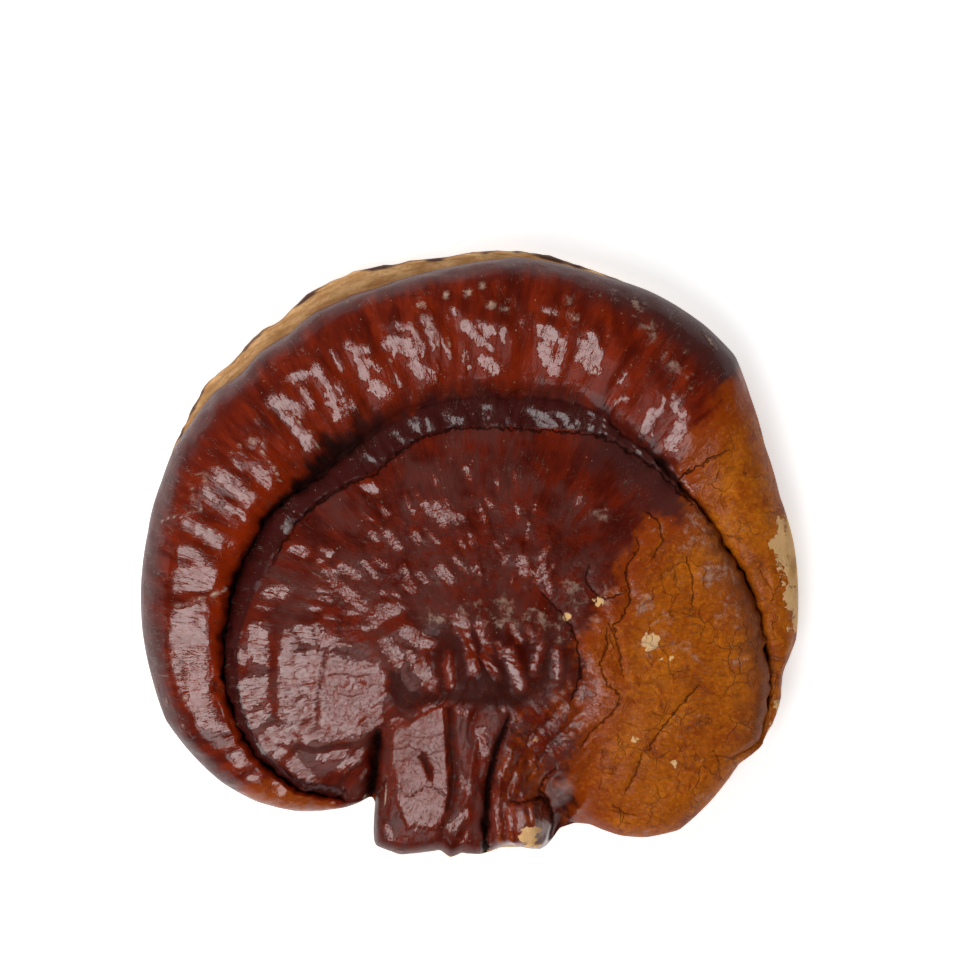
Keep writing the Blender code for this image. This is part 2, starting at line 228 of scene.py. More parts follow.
# The line along which the disc's crust has parted from the band beyond it, given as the cracks are.
PARTING_PX = (
    (262, 588), (285, 545), (300, 522), (325, 500), (350, 485), (378, 473), (400, 453), (412, 445),
    (425, 437), (455, 430), (490, 428), (525, 430), (575, 433), (600, 437), (625, 450), (650, 467),
    (675, 490), (700, 515), (714, 534),
)
PARTING = (PARTING_PX, 0.42, 0.6, 0.6)

# Ridges: route in pixels, half width and the height at either end in millimetres.
RIDGES = {
    "stem_rib": (((474, 740), (468, 790), (458, 830)), 1.1, 0.5, 0.7),
    "stem_bead": (((512, 745), (500, 772), (496, 810), (500, 842)), 0.8, 0.6, 1.1),
    "lobe_rim": (((606, 768), (592, 786), (577, 806)), 0.9, 0.4, 1.1),
    "disc_lip": (((262, 580), (285, 538), (302, 515), (326, 493), (352, 479), (380, 466)), 0.7, 0.1, 0.35),
    "loop_fold": (((628, 398), (613, 404), (605, 416), (603, 430), (612, 440)), 0.6, 0.6, 0.6),
    "slope_rim": (((556, 765), (545, 780), (543, 795), (552, 812), (552, 830)), 0.45, 0.5, 0.5),
    "fold_a": (((600, 655), (608, 680), (614, 702)), 0.9, 0.3, 0.6),
    "fold_b": (((586, 640), (592, 655), (598, 674)), 0.6, 0.4, 0.4),
    "fold_c": (((560, 603), (568, 588), (580, 572), (592, 566)), 0.8, 0.5, 0.3),
    "hook": (((352, 722), (370, 724), (383, 732)), 0.5, 0.3, 0.5),
}

# Pleats of the boss and the disc: the two ends of each in pixels, its half width and height in millimetres.
PLEATS = (
    ((400, 645), (394, 682), 1.1, 0.6), ((424, 650), (431, 684), 1.1, 0.7),
    ((449, 650), (451, 682), 0.8, 0.7), ((471, 640), (474, 668), 0.9, 0.7),
    ((486, 645), (497, 672), 0.7, 0.6), ((511, 645), (520, 684), 1.1, 0.8),
    ((541, 638), (533, 668), 0.8, 0.6), ((556, 645), (557, 680), 0.8, 0.6),
    ((410, 632), (430, 640), 1.0, 0.4), ((455, 612), (457, 628), 0.6, 0.4),
    ((465, 610), (467, 640), 0.8, 0.5), ((484, 610), (490, 636), 0.9, 0.5),
    ((503, 608), (506, 632), 0.7, 0.4), ((522, 612), (524, 634), 0.7, 0.4),
    ((541, 612), (538, 634), 0.7, 0.4), ((404, 560), (416, 592), 0.9, 0.4),
    ((440, 555), (450, 585), 1.2, 0.5), ((476, 555), (482, 580), 0.7, 0.4),
    ((518, 545), (526, 582), 1.2, 0.5), ((540, 550), (549, 592), 1.0, 0.6),
    ((392, 525), (402, 552), 1.0, 0.4), ((432, 498), (444, 526), 1.4, 0.4),
    ((480, 500), (487, 526), 0.7, 0.4), ((384, 598), (394, 625), 1.5, 0.4),
)

# Lumps of the roll: middle, half length outward and half width in pixels, height in millimetres.
LUMPS = (
    ((198, 640), 20, 26, 0.35), ((205, 568), 24, 15, 0.45), ((212, 528), 26, 10, 0.50),
    ((236, 483), 26, 11, 0.50), ((240, 512), 15, 9, 0.30), ((267, 470), 20, 9, 0.40),
    ((292, 408), 24, 12, 0.50), ((311, 432), 16, 10, 0.35), ((338, 398), 28, 8, 0.45),
    ((362, 362), 22, 9, 0.45), ((382, 392), 16, 9, 0.35), ((404, 350), 20, 13, 0.45),
    ((424, 374), 18, 10, 0.35), ((449, 352), 22, 4, 0.25), ((472, 336), 20, 10, 0.45),
    ((490, 366), 20, 9, 0.45), ((548, 350), 28, 10, 0.50), ((587, 352), 28, 10, 0.45),
    ((617, 365), 30, 6, 0.30), ((649, 420), 20, 7, 0.45), ((676, 430), 26, 8, 0.50),
    ((709, 462), 24, 6, 0.40), ((238, 758), 14, 10, 0.30), ((735, 500), 22, 7, 0.25),
)

# Plates that stand above their surroundings or lie below them: outline, softness and height in millimetres.
PLATES = {
    "shelf": (
        ((374, 741), (345, 743), (318, 748), (298, 744), (283, 762), (300, 784), (335, 798),
         (376, 800)), 0.9, -1.4
    ),
    "trunk": (
        ((394, 724), (420, 712), (444, 700), (447, 740), (450, 780), (446, 808), (432, 823),
         (409, 821), (398, 799), (392, 762)), 0.5, 0.7
    ),
    "knob": (
        ((511, 799), (540, 796), (549, 806), (551, 825), (544, 843), (516, 845), (507, 834),
         (506, 810)), 0.9, 1.5
    ),
    "brow": (
        ((380, 600), (430, 596), (500, 592), (545, 598), (562, 622), (545, 630), (500, 622),
         (450, 624), (415, 634), (385, 650)), 2.4, 0.4
    ),
}

# Broad flat faces of the crust, as outlines in pixels.
FACES = {
    "trunk": (
        (392, 722), (391, 713), (405, 714), (420, 712), (430, 703), (446, 701), (447, 740), (449, 780),
        (445, 809), (432, 824), (409, 822), (398, 800), (392, 762),
    ),
    "left_lobe": (
        (281, 652), (298, 650), (318, 645), (331, 650), (352, 656), (376, 658), (388, 668), (392, 690),
        (384, 700), (387, 716), (372, 729), (340, 736), (306, 741), (290, 737), (281, 716), (279, 690),
    ),
    "left_lobe_top": (
        (281, 633), (297, 624), (317, 619), (334, 632), (353, 643), (330, 646), (302, 641), (284, 645),
    ),
    "band_a": ((254, 624), (263, 619), (273, 632), (271, 662), (255, 662), (250, 640)),
    "band_b": ((238, 679), (256, 673), (271, 674), (272, 692), (260, 703), (247, 708), (240, 700)),
    "band_c": ((246, 712), (262, 706), (273, 700), (275, 714), (258, 727), (251, 733)),
    "band_d": ((257, 738), (272, 724), (284, 721), (291, 738), (279, 745), (263, 755)),
    "roll_left": (
        (173, 612), (190, 602), (210, 598), (212, 640), (212, 690), (221, 728), (205, 726), (186, 700),
        (172, 656),
    ),
    "roll_upper_left": ((176, 568), (206, 560), (217, 574), (214, 588), (196, 592), (178, 590)),
}

# Flat places where the lacquer shines: the two ends of each and its half width, in pixels.
FACETS = (
    ((188, 575), (212, 574), 9), ((188, 548), (202, 556), 7), ((188, 517), (226, 545), 6),
    ((210, 490), (222, 500), 4), ((220, 468), (253, 500), 6), ((232, 507), (248, 516), 4),
    ((236, 455), (243, 468), 3), ((263, 472), (272, 483), 6), ((276, 402), (302, 412), 6),
    ((286, 400), (293, 420), 6), ((301, 431), (312, 444), 6), ((291, 383), (312, 374), 4),
    ((306, 390), (314, 408), 4), ((320, 368), (332, 392), 4), ((333, 396), (340, 418), 4),
    ((334, 353), (344, 373), 2), ((341, 383), (343, 394), 3), ((344, 402), (351, 416), 3),
    ((353, 402), (358, 413), 2), ((352, 347), (366, 352), 5), ((360, 352), (366, 376), 6),
    ((370, 363), (381, 372), 3), ((376, 386), (389, 396), 6), ((392, 346), (420, 353), 7),
    ((399, 329), (414, 330), 4), ((426, 322), (438, 345), 5), ((415, 368), (431, 378), 6),
    ((396, 376), (401, 387), 2), ((466, 326), (480, 344), 5), ((480, 327), (491, 336), 5),
    ((484, 362), (495, 371), 6), ((464, 352), (467, 370), 2), ((449, 351), (449, 360), 2),
    ((488, 348), (491, 351), 3), ((540, 331), (552, 341), 6), ((543, 352), (554, 370), 7),
    ((562, 336), (560, 362), 3), ((541, 313), (545, 315), 3), ((551, 314), (555, 316), 3),
    ((567, 316), (571, 322), 2), ((580, 347), (590, 371), 6), ((590, 336), (597, 358), 4),
    ((617, 351), (616, 364), 1.2), ((502, 331), (503, 344), 1.8), ((650, 413), (643, 431), 5),
    ((671, 408), (678, 416), 4), ((679, 426), (668, 444), 6), ((664, 376), (667, 373), 2),
    ((673, 371), (676, 379), 3), ((715, 444), (708, 458), 3), ((707, 462), (703, 477), 3),
    ((715, 481), (716, 494), 1.5), ((732, 458), (738, 441), 1.5), ((685, 485), (689, 495), 4),
    ((668, 469), (673, 481), 3), ((646, 453), (651, 462), 3), ((631, 443), (636, 452), 3),
    ((241, 753), (243, 765), 5), ((253, 775), (258, 778), 4), ((276, 780), (283, 790), 4),
    ((297, 502), (302, 514), 3), ((286, 517), (290, 530), 5), ((366, 455), (377, 462), 4),
    ((395, 432), (404, 442), 4), ((413, 417), (417, 431), 4), ((427, 421), (429, 431), 3),
    ((447, 413), (461, 421), 4), ((486, 406), (489, 417), 4), ((534, 412), (551, 427), 7),
    ((562, 415), (569, 427), 5), ((575, 414), (576, 426), 3), ((588, 412), (590, 430), 4),
    ((603, 417), (603, 432), 3), ((614, 403), (625, 399), 2.5), ((367, 483), (376, 491), 5),
    ((426, 504), (433, 511), 4), ((438, 505), (444, 521), 5), ((451, 512), (461, 517), 3),
    ((480, 506), (486, 521), 2), ((485, 498), (491, 505), 2.5), ((389, 531), (400, 547), 3.5),
    ((415, 531), (420, 540), 2.5), ((295, 546), (307, 552), 5), ((323, 560), (332, 572), 4),
    ((342, 563), (359, 574), 4), ((325, 548), (333, 553), 3), ((366, 561), (378, 575), 2.5),
    ((336, 580), (365, 605), 5), ((405, 566), (415, 588), 3), ((441, 566), (450, 578), 5.5),
    ((477, 564), (480, 573), 2), ((494, 541), (505, 558), 1.6), ((520, 558), (526, 571), 5.5),
    ((540, 556), (548, 588), 3.5), ((378, 613), (395, 606), 8), ((273, 591), (284, 590), 6),
    ((262, 604), (272, 606), 1.6), ((455, 612), (461, 626), 3.2), ((464, 614), (467, 636), 4),
    ((478, 622), (489, 646), 4), ((408, 628), (426, 640), 6.5), ((387, 640), (400, 657), 7),
    ((411, 650), (419, 667), 3.5), ((422, 662), (431, 680), 6), ((470, 645), (474, 663), 4.5),
    ((448, 659), (451, 678), 3.6), ((483, 651), (493, 667), 3.2), ((508, 648), (520, 680), 5),
    ((540, 641), (533, 664), 3), ((555, 649), (556, 672), 3), ((511, 621), (519, 637), 2.8),
    ((526, 622), (531, 636), 2.5), ((497, 640), (502, 652), 2.4), ((291, 630), (290, 650), 5),
    ((241, 650), (246, 657), 5), ((282, 750), (296, 762), 7), ((300, 767), (313, 779), 6),
    ((322, 755), (345, 750), 4), ((343, 766), (362, 748), 4), ((480, 726), (484, 748), 4.5),
    ((464, 775), (469, 786), 4), ((468, 806), (450, 825), 3.5), ((467, 827), (463, 837), 2),
    ((387, 822), (394, 834), 3), ((508, 754), (499, 772), 2.5), ((495, 790), (499, 826), 3),
    ((532, 755), (530, 760), 2), ((509, 804), (510, 834), 3), ((518, 806), (520, 826), 2.5),
    ((530, 801), (531, 818), 2), ((603, 777), (582, 797), 5), ((612, 690), (613, 700), 4),
    ((592, 700), (600, 712), 4), ((540, 722), (533, 738), 2), ((505, 700), (503, 706), 2),
    ((770, 590), (765, 570), 2), ((428, 706), (440, 710), 5), ((456, 706), (466, 708), 3),
)
# How many small streaks shine on the disc and on the roll, how far the shining places lean, how firmly they
# keep their slope, how far around them the crust gives way, in millimetres, and how often the heights are
# improved.
SMALL_FACETS = 56
FACET_SHARE = 0.95
FACET_GRIP = 25
HOLD_REACH = 6.5
LEAN_ROUNDS = 420
LEAST_STEP, HELD_FAST = 0.12 * MM, 1e3

# Rises: middle in pixels, reach and height in millimetres.
RISES = {
    "boss": ((486, 652), 11.0, 2.5),
    "lobe": ((665, 690), 17.0, 1.6),
    "knob": ((528, 820), 4.0, 1.7),
}
BOSS_PX = (486, 655)
BOSS_REACH_PX = (88, 44)
BOSS_FACETS_PX = 95

# The dark satin band under the boss: its lacquer is dull, and its dark colour is painted shade.
SATIN_PX = (
    (391, 664), (404, 668), (412, 686), (440, 688), (470, 680), (506, 686), (530, 690), (520, 702),
    (500, 704), (480, 700), (458, 700), (446, 697), (428, 699), (414, 707), (402, 708), (392, 700),
    (388, 682),
)

# Rounds of growth on the disc: distance from the hub in pixels, half width and height in millimetres.
GROWTH_ROUNDS = ((52, 2.6, -0.5), (90, 2.8, 0.18), (115, 2.2, -0.12), (142, 2.8, 0.18), (168, 2.4, -0.12))

# The ochre side of the cap, which is still growing, as a closed outline in pixels.
OCHRE_PX = (
    (748, 380), (705, 425), (690, 470), (688, 505), (678, 524), (654, 526), (642, 548), (629, 568),
    (618, 592), (600, 625), (586, 645), (600, 690), (587, 735), (572, 775), (582, 800), (600, 900),
    (900, 900), (900, 300),
)

# Wrinkled, redder ground between the stem and the ochre side.
RUSSET_PX = (
    (508, 705), (545, 690), (580, 660), (592, 610), (620, 560), (640, 560), (640, 700), (590, 800),
    (560, 850), (490, 850), (493, 780),
)

# Bare, cream-coloured flesh: along the right edge, and as spots with their reach in millimetres.
CREAM_EDGE_PX = (
    (772, 522), (786, 512), (810, 540), (820, 600), (812, 630), (788, 628), (784, 600), (779, 570),
    (768, 545),
)
CREAM_SPOTS = (
    ((648, 637), 1.5), ((595, 600), 1.1), ((668, 655), 0.8), ((659, 655), 0.6), ((632, 735), 0.8),
    ((672, 760), 0.8), ((566, 614), 0.8), ((535, 735), 0.6), ((530, 833), 2.2), ((644, 642), 1.0),
    ((775, 705), 1.0), ((768, 725), 0.9),
)

# Dusty, worn places of the crust, partly painted glints and sheen on fine wrinkles: middle in pixels and
# reach in millimetres.
DUSTY_SPOTS = (
    ((640, 602), 3.0), ((655, 620), 3.0), ((648, 642), 2.6), ((572, 585), 2.6), ((600, 515), 2.4),
    ((608, 592), 2.8), ((676, 645), 2.6), ((692, 655), 2.0), ((712, 572), 4.6), ((725, 610), 3.6),
    ((470, 606), 3.0), ((500, 612), 4.0), ((532, 618), 3.6), ((556, 626), 2.6), ((440, 612), 2.6),
    ((655, 525), 2.0), ((735, 655), 2.4), ((690, 540), 3.6), ((421, 308), 1.4), ((428, 318), 1.2),
    ((447, 298), 0.9), ((469, 296), 1.1), ((482, 290), 0.9), ((490, 306), 1.2), ((505, 312), 0.9),
    ((566, 304), 0.9), ((572, 322), 1.2), ((632, 310), 2.6), ((650, 335), 2.8), ((672, 360), 2.8),
    ((690, 385), 2.2), ((612, 300), 1.6), ((258, 441), 1.2), ((205, 480), 2.0), ((200, 498), 1.8),
    ((188, 695), 0.8), ((185, 725), 0.7), ((168, 700), 0.6), ((158, 688), 0.5), ((400, 852), 1.2),
    ((590, 300), 1.0), ((690, 520), 2.4), ((640, 832), 2.4), ((700, 790), 1.8), ((575, 600), 2.8),
    ((590, 620), 2.2),
)

# Pale scratches and streaks: route and half width in pixels.
SCRATCHES = (
    (((182, 603), (200, 598), (215, 593), (229, 588)), 2.6), (((424, 303), (427, 318), (431, 330)), 2.4),
    (((386, 336), (392, 358), (395, 396)), 1.0), (((438, 318), (439, 362), (436, 386)), 1.0),
    (((446, 330), (450, 350)), 1.0), (((462, 350), (464, 375)), 1.0), (((598, 368), (588, 378)), 1.0),
    (((290, 412), (312, 432), (330, 465)), 1.0), (((262, 448), (275, 462), (284, 482)), 1.0),
    (((240, 440), (250, 458)), 1.0), (((195, 482), (199, 500)), 1.2), (((165, 520), (205, 508)), 1.0),
    (((702, 334), (712, 348)), 1.6), (((388, 770), (386, 800)), 0.9),
)

TABLE_BEARINGS = np.arange(0, 360, 0.25)

# Curves round the hub

def from_hub(points_px):
    """Places in metres from the hub, x to the right and y up the photograph."""
    points = np.array(points_px, float)
    return (points[:, 0] - HUB_PX[0]) * PX, (HUB_PX[1] - points[:, 1]) * PX


def smoothed(table, spread):
    turns = np.fft.rfftfreq(len(table), 1 / len(table))
    softening = np.exp(-0.5 * (turns * math.radians(spread)) ** 2)
    return np.fft.irfft(np.fft.rfft(table) * softening, len(table))


def around(bearings, values, spread):
    return smoothed(np.interp(TABLE_BEARINGS, bearings, values, period=360), spread)


def radius_around(points_px, spread):
    x, y = from_hub(points_px)
    return around(np.degrees(np.arctan2(y, x)), np.hypot(x, y), spread)


def height_around(pairs, spread=4.0):
    bearings, millimetres = np.array(pairs, float).T
    return around(bearings, millimetres * MM, spread)


def at(bearings, table):
    return np.interp(bearings, TABLE_BEARINGS, table, period=360)


def eased(value):
    t = np.clip(value, 0, 1)
    return t * t * (3 - 2 * t)


def bell(away, power=2):
    """1 in the middle and nothing beyond about two units; greater powers are flatter and steeper."""
    return np.exp(-(np.abs(away) ** power))


def within(value, start, rise, end, fall):
    """1 between a start, after a soft rise, and an end, before it a soft fall."""
    return eased((value - start) / rise) * eased((end - value) / fall)


def tapered(share, first, last):
    """A size in metres that goes from one number of millimetres to another along a route."""
    return (first + (last - first) * share) * MM


def ring_presence(bearings):
    """1 where the cap has its outer ring, 0 on the right lobe and the stem."""
    turned = (bearings - 90 + 180) % 360 - 90
    return eased((turned - RING_FROM) / RING_START_FADE) * eased((RING_TO - turned) / RING_FADE)


def between_bearings(bearings, start, end, fade):
    """1 between two bearings, fading over some degrees outside them."""
    middle, half = (start + end) / 2, (end - start) / 2
    off = np.abs((bearings - middle + 180) % 360 - 180)
    return eased((half + fade - off) / fade)


def lip_reach(outline):
    """How far the pale lip stands out past the roll."""
    x, y = from_hub(ROLL_EDGE_PX)
    bearings, radii = np.degrees(np.arctan2(y, x)), np.hypot(x, y)
    reach = at(bearings, outline) - radii
    ends = (bearings.min() - 4, bearings.max() + 4)
    return around(np.append(bearings, ends), np.append(np.maximum(reach, 0), (0, 0)), 1.2)


# Noise

def scattered(cells, seed):
    """A number from -1 to 1 in each of three directions for every cell corner."""
    x, y, z = (cells[:, i].astype(np.int64).astype(np.uint32) for i in range(3))
    mixed = x * np.uint32(0x9E3779B1) ^ y * np.uint32(0x85EBCA77) ^ z * np.uint32(0xC2B2AE3D)
    mixed = mixed ^ np.uint32((seed * 0x27D4EB2F) & 0xFFFFFFFF)
    mixed = (mixed ^ (mixed >> np.uint32(15))) * np.uint32(0x2C1B3C6D)
    mixed = (mixed ^ (mixed >> np.uint32(12))) * np.uint32(0x297A2D39)
    mixed = mixed ^ (mixed >> np.uint32(15))
    parts = (mixed & np.uint32(1023), (mixed >> np.uint32(10)) & np.uint32(1023), mixed >> np.uint32(22))
    return np.stack(parts, axis=-1) / 511.5 - 1


def noise(places, seed):
    """Smooth noise, about -1 to 1, with bumps about two units across."""
    shape = places.shape[:-1]
    places = places.reshape(-1, 3)
    base = np.floor(places)
    inset = places - base
    blend = inset**3 * (inset * (inset * 6 - 15) + 10)
    total = np.zeros(len(places))
    for corner in np.ndindex(2, 2, 2):
        offset = np.array(corner)
        slope = scattered(base + offset, seed)
        weight = np.prod(np.where(offset == 1, blend, 1 - blend), axis=-1)
        total += weight * np.einsum("ij,ij->i", slope, inset - offset)
    return (total * 1.4).reshape(shape)


def layered(places, seed, layers, weaker=0.5):
    """Noise with finer and weaker noise added to it."""
    total, strength = 0, 1.0
    for layer in range(layers):
        total = total + strength * noise(places * 2.0**layer, seed + layer * 17)
        strength *= weaker
    return total


def plane_noise(x, y, size, seed, layers=1, weaker=0.5):
    """Noise over the photograph's plane; its size is in millimetres."""
    return layered(np.stack([x, y, np.zeros_like(x)], axis=-1) / (size * MM), seed, layers, weaker)


def even_spread(run):
    share = run / STAR_RADIUS
    return np.where(share < 1, share, 1 + 0.25 * np.log(np.maximum(share, 1)))


def grown(form, run, cells_round, reach, seed, layers=2):
    """Noise that follows growth: so many cells round the hub, and of a reach in millimetres outward along
    the skin. Near the hub the pattern spreads evenly instead, so that it doesn't gather in a star."""
    turn = np.radians(form.bearings)[None, :] * np.ones_like(run)
    around_hub = cells_round * even_spread(run)
    places = [np.cos(turn) * around_hub, np.sin(turn) * around_hub, run / (reach * MM)]
    return layered(np.stack(places, axis=-1), seed, layers)


# Distances to routes and outlines

def along_route(x, y, route_px):
    """The distance to a route, how far along it, 0 to 1, the nearest place is, and on which side of it."""
    px, py = from_hub(route_px)
    nearest, share, side = np.full_like(x, np.inf), np.zeros_like(x), np.ones_like(x)
    legs = np.hypot(np.diff(px), np.diff(py))
    starts = np.concatenate([[0], np.cumsum(legs)])
    for i, leg in enumerate(legs):
        dx, dy = (px[i + 1] - px[i]) / leg, (py[i + 1] - py[i]) / leg
        run = np.clip((x - px[i]) * dx + (y - py[i]) * dy, 0, leg)
        distance = np.hypot(x - px[i] - run * dx, y - py[i] - run * dy)
        closer = distance < nearest
        nearest = np.where(closer, distance, nearest)
        share = np.where(closer, (starts[i] + run) / starts[-1], share)
        side = np.where(closer, np.where((y - py[i]) * dx > (x - px[i]) * dy, 1.0, -1.0), side)
    return nearest, share, side


def inside_outline(x, y, outline_px):
    """How far inside a closed outline each place is, in metres; less than 0 outside it."""
    px, py = from_hub(outline_px + outline_px[:1])
    distance, _, _ = along_route(x, y, outline_px + outline_px[:1])
    inside = np.zeros(x.shape, bool)
    for i in range(len(px) - 1):
        crosses = (py[i] > y) != (py[i + 1] > y)
        run = py[i + 1] - py[i]
        where = px[i] + (y - py[i]) * (px[i + 1] - px[i]) / (run if run else 1)
        inside ^= crosses & (x < where)
    return np.where(inside, distance, -distance)


# Form of the cap

def arc(low, high, turn, squareness):
    """Radius and height along a quarter round, from its top at turn 0 to its side at turn 1."""
    angle = turn * math.pi / 2
    across = np.sin(angle) ** (2 / squareness)
    down = np.cos(angle) ** (2 / squareness)
    return high[0] + (low[0] - high[0]) * across, low[1] + (high[1] - low[1]) * down


class Form:
    """The curves of the cap at each bearing."""

    def __init__(self, bearings):
        outline = radius_around(OUTLINE_PX, 0.4)
        self.bearings = bearings
        self.reach = at(bearings, lip_reach(outline))
        self.edge = at(bearings, outline) - self.reach
        self.shoulder = at(bearings, radius_around(SHOULDER_PX, 2.0))
        self.valley = at(bearings, radius_around(VALLEY_PX, 2.0))
        self.crest = at(bearings, radius_around(CREST_PX, 2.0))
        turn = np.radians(bearings)
        circle = np.stack([22 * np.cos(turn), 22 * np.sin(turn), np.zeros_like(turn)], axis=-1)
        scallop = layered(circle, 61, 2) * MM
        self.valley += 0.5 * scallop
        self.crest += 0.6 * scallop
        self.shoulder_z = at(bearings, height_around(SHOULDER_HEIGHT, 1.5))
        self.valley_z = at(bearings, height_around(VALLEY_HEIGHT))
        self.crest_z = at(bearings, height_around(CREST_HEIGHT))
        self.edge_z = at(bearings, height_around(WIDEST_HEIGHT))
        self.rounding = at(bearings, height_around(EDGE_ROUND, 1.0))
        self.fall = at(bearings, height_around(DISC_FALL)) / MM
        self.undercut = at(bearings, height_around(UNDERCUT))
        self.ring = ring_presence(bearings)
        self.gentle = between_bearings(bearings, 58, 122, 28)
        self.lip_top = np.minimum(LIP_TOP, self.edge_z - 0.8 * MM)
        bare = 1 - eased(self.reach / (1.0 * MM))
        self.lip = self.edge + self.reach - self.undercut * LIP_TUCK * bare

    def fold(self, low, high, t, squareness):
        """A quarter round, opened into a gentle slope at the top, where the furrow is shallow."""
        steep = arc(low, high, t, squareness)
        rise = math.cos(t * math.pi / 2) ** 0.6
        gentle = (high[0] + (low[0] - high[0]) * t, low[1] + (high[1] - low[1]) * rise)
        return [self.gentle * open_part + (1 - self.gentle) * part for open_part, part in zip(gentle, steep)]

    def top(self):
        """Radius, height and zone of each ring from the hub to the widest line. The zone runs from 0 at
        the hub to 1 at the shoulder, 2 in the valley, 3 on the crest and 4 at the widest line."""
        plain_shoulder = self.edge - self.rounding
        disc_edge = self.ring * self.shoulder + (1 - self.ring) * plain_shoulder
        rings = []
        for k in range(1, DISC_RINGS + 1):
            t = k / DISC_RINGS
            height = self.shoulder_z + (HUB_HEIGHT - self.shoulder_z) * (1 - t**self.fall)
            rings.append((disc_edge * t, height, t))
        past = BAND_RINGS + INNER_RINGS + OUTER_RINGS
        shoulder, valley = (self.shoulder, self.shoulder_z), (self.valley, self.valley_z)
        crest, edge = (self.crest, self.crest_z), (self.edge, self.edge_z)
        for k in range(1, past + 1):
            plain = arc(edge, (plain_shoulder, self.shoulder_z), k / past, 2.3)
            if k <= BAND_RINGS:
                t = k / BAND_RINGS
                ringed, zone = self.fold(valley, shoulder, t, 2.0), 1 + t
            elif k <= BAND_RINGS + INNER_RINGS:
                t = 1 - (k - BAND_RINGS) / INNER_RINGS
                ringed, zone = self.fold(valley, crest, t, 2.7), 3 - t
            else:
                t = (k - BAND_RINGS - INNER_RINGS) / OUTER_RINGS
                ringed, zone = arc(edge, crest, t, 2.3), 3 + t
            radius, height = (self.ring * r + (1 - self.ring) * p for r, p in zip(ringed, plain))
            rings.append((radius, height, zone))
        return rings

    def crust_rings(self):
        """All rings of the crust, closed below inside the pore side."""
        rings = self.top()
        inner = self.lip_top - 0.4 * MM
        below = [
            (self.edge - self.undercut * 0.35, (self.edge_z + self.lip_top) / 2, 4.3),
            (self.edge - self.undercut, self.lip_top, 4.6),
            (self.edge - self.undercut - 1.2 * MM, inner, 5.0),
            *((self.edge * t, np.full_like(inner, CRUST_FOOT), 5.0) for t in (0.7, 0.3)),
        ]
        return rings + below

    def pore_rings(self):
        """Rings of the pore side: hidden top, lip, rim and flat foot."""
        lip, top = self.lip, self.lip_top
        foot = top - LIP_THICKNESS
        middle = (top + foot) / 2
        root = self.edge - self.undercut - 0.6 * MM
        rings = [(root * t, np.full_like(root, LIP_TOP + 0.5 * MM), 0.0) for t in (0.35, 0.7, 0.92)]
        rings.append((root, top - 0.1 * MM, 0.5))
        bead = LIP_THICKNESS * 0.35
        for t in np.linspace(0.15, 1.0, 8):
            rings.append((root + (lip - bead - root) * t, top - bead * 0.1 * t, 0.5 + 0.5 * t))
        for t in np.linspace(1 / 9, 1, 9):
            r, z = arc((lip, middle), (lip - bead, top - bead * 0.1), t, 2.4)
            rings.append((r, z, 1.0 + t))
        for t in np.linspace(1 - 1 / 8, 0, 8):
            r, z = arc((lip, middle), (lip - bead, foot), t, 2.4)
            rings.append((r, z, 3.0 - t))
        for t in np.linspace(1 / 8, 1, 8):
            drop = foot + (RIM_RISE - foot) * (1 - (1 - t) ** 2)
            rings.append((lip - bead - (RIM_WIDTH - bead) * t, drop, 3.0 + t))
        rings.append((lip - (RIM_WIDTH + FOOT_INSET) / 2, np.full_like(lip, RIM_RISE * 0.3), 5.0))
        rings.append((lip - FOOT_INSET, np.zeros_like(lip), 5.0))
        for t in (0.7, 0.4):
            rings.append(((lip - FOOT_INSET) * t, np.zeros_like(lip), 5.0))
        return rings


def softened(values, form, zone):
    """Evens out the fold between the disc and its rounded edge where the cap has no ring."""
    kernel = np.exp(-0.5 * (np.arange(-9, 10) / 3.5) ** 2)
    padded = np.pad(values, ((9, 9), (0, 0)), mode="edge")
    even = sum(weight * padded[i:i + len(values)] for i, weight in enumerate(kernel / kernel.sum()))
    share = (1 - form.ring) * eased((zone - 0.8) / 0.1) * eased((1.8 - zone) / 0.4)
    return values + share * (even - values)


def segment_bearings(count, denser):
    fine = np.arange(0, 360, 0.1)
    weight = np.where((fine > STEM_FROM) & (fine < STEM_TO), denser, 1.0)
    share = np.cumsum(smoothed(np.interp(TABLE_BEARINGS, fine, weight, period=360), 4.0))
    share = np.append(0, share) / share[-1]
    return np.interp(np.arange(count) / count, share, np.append(TABLE_BEARINGS, 360))


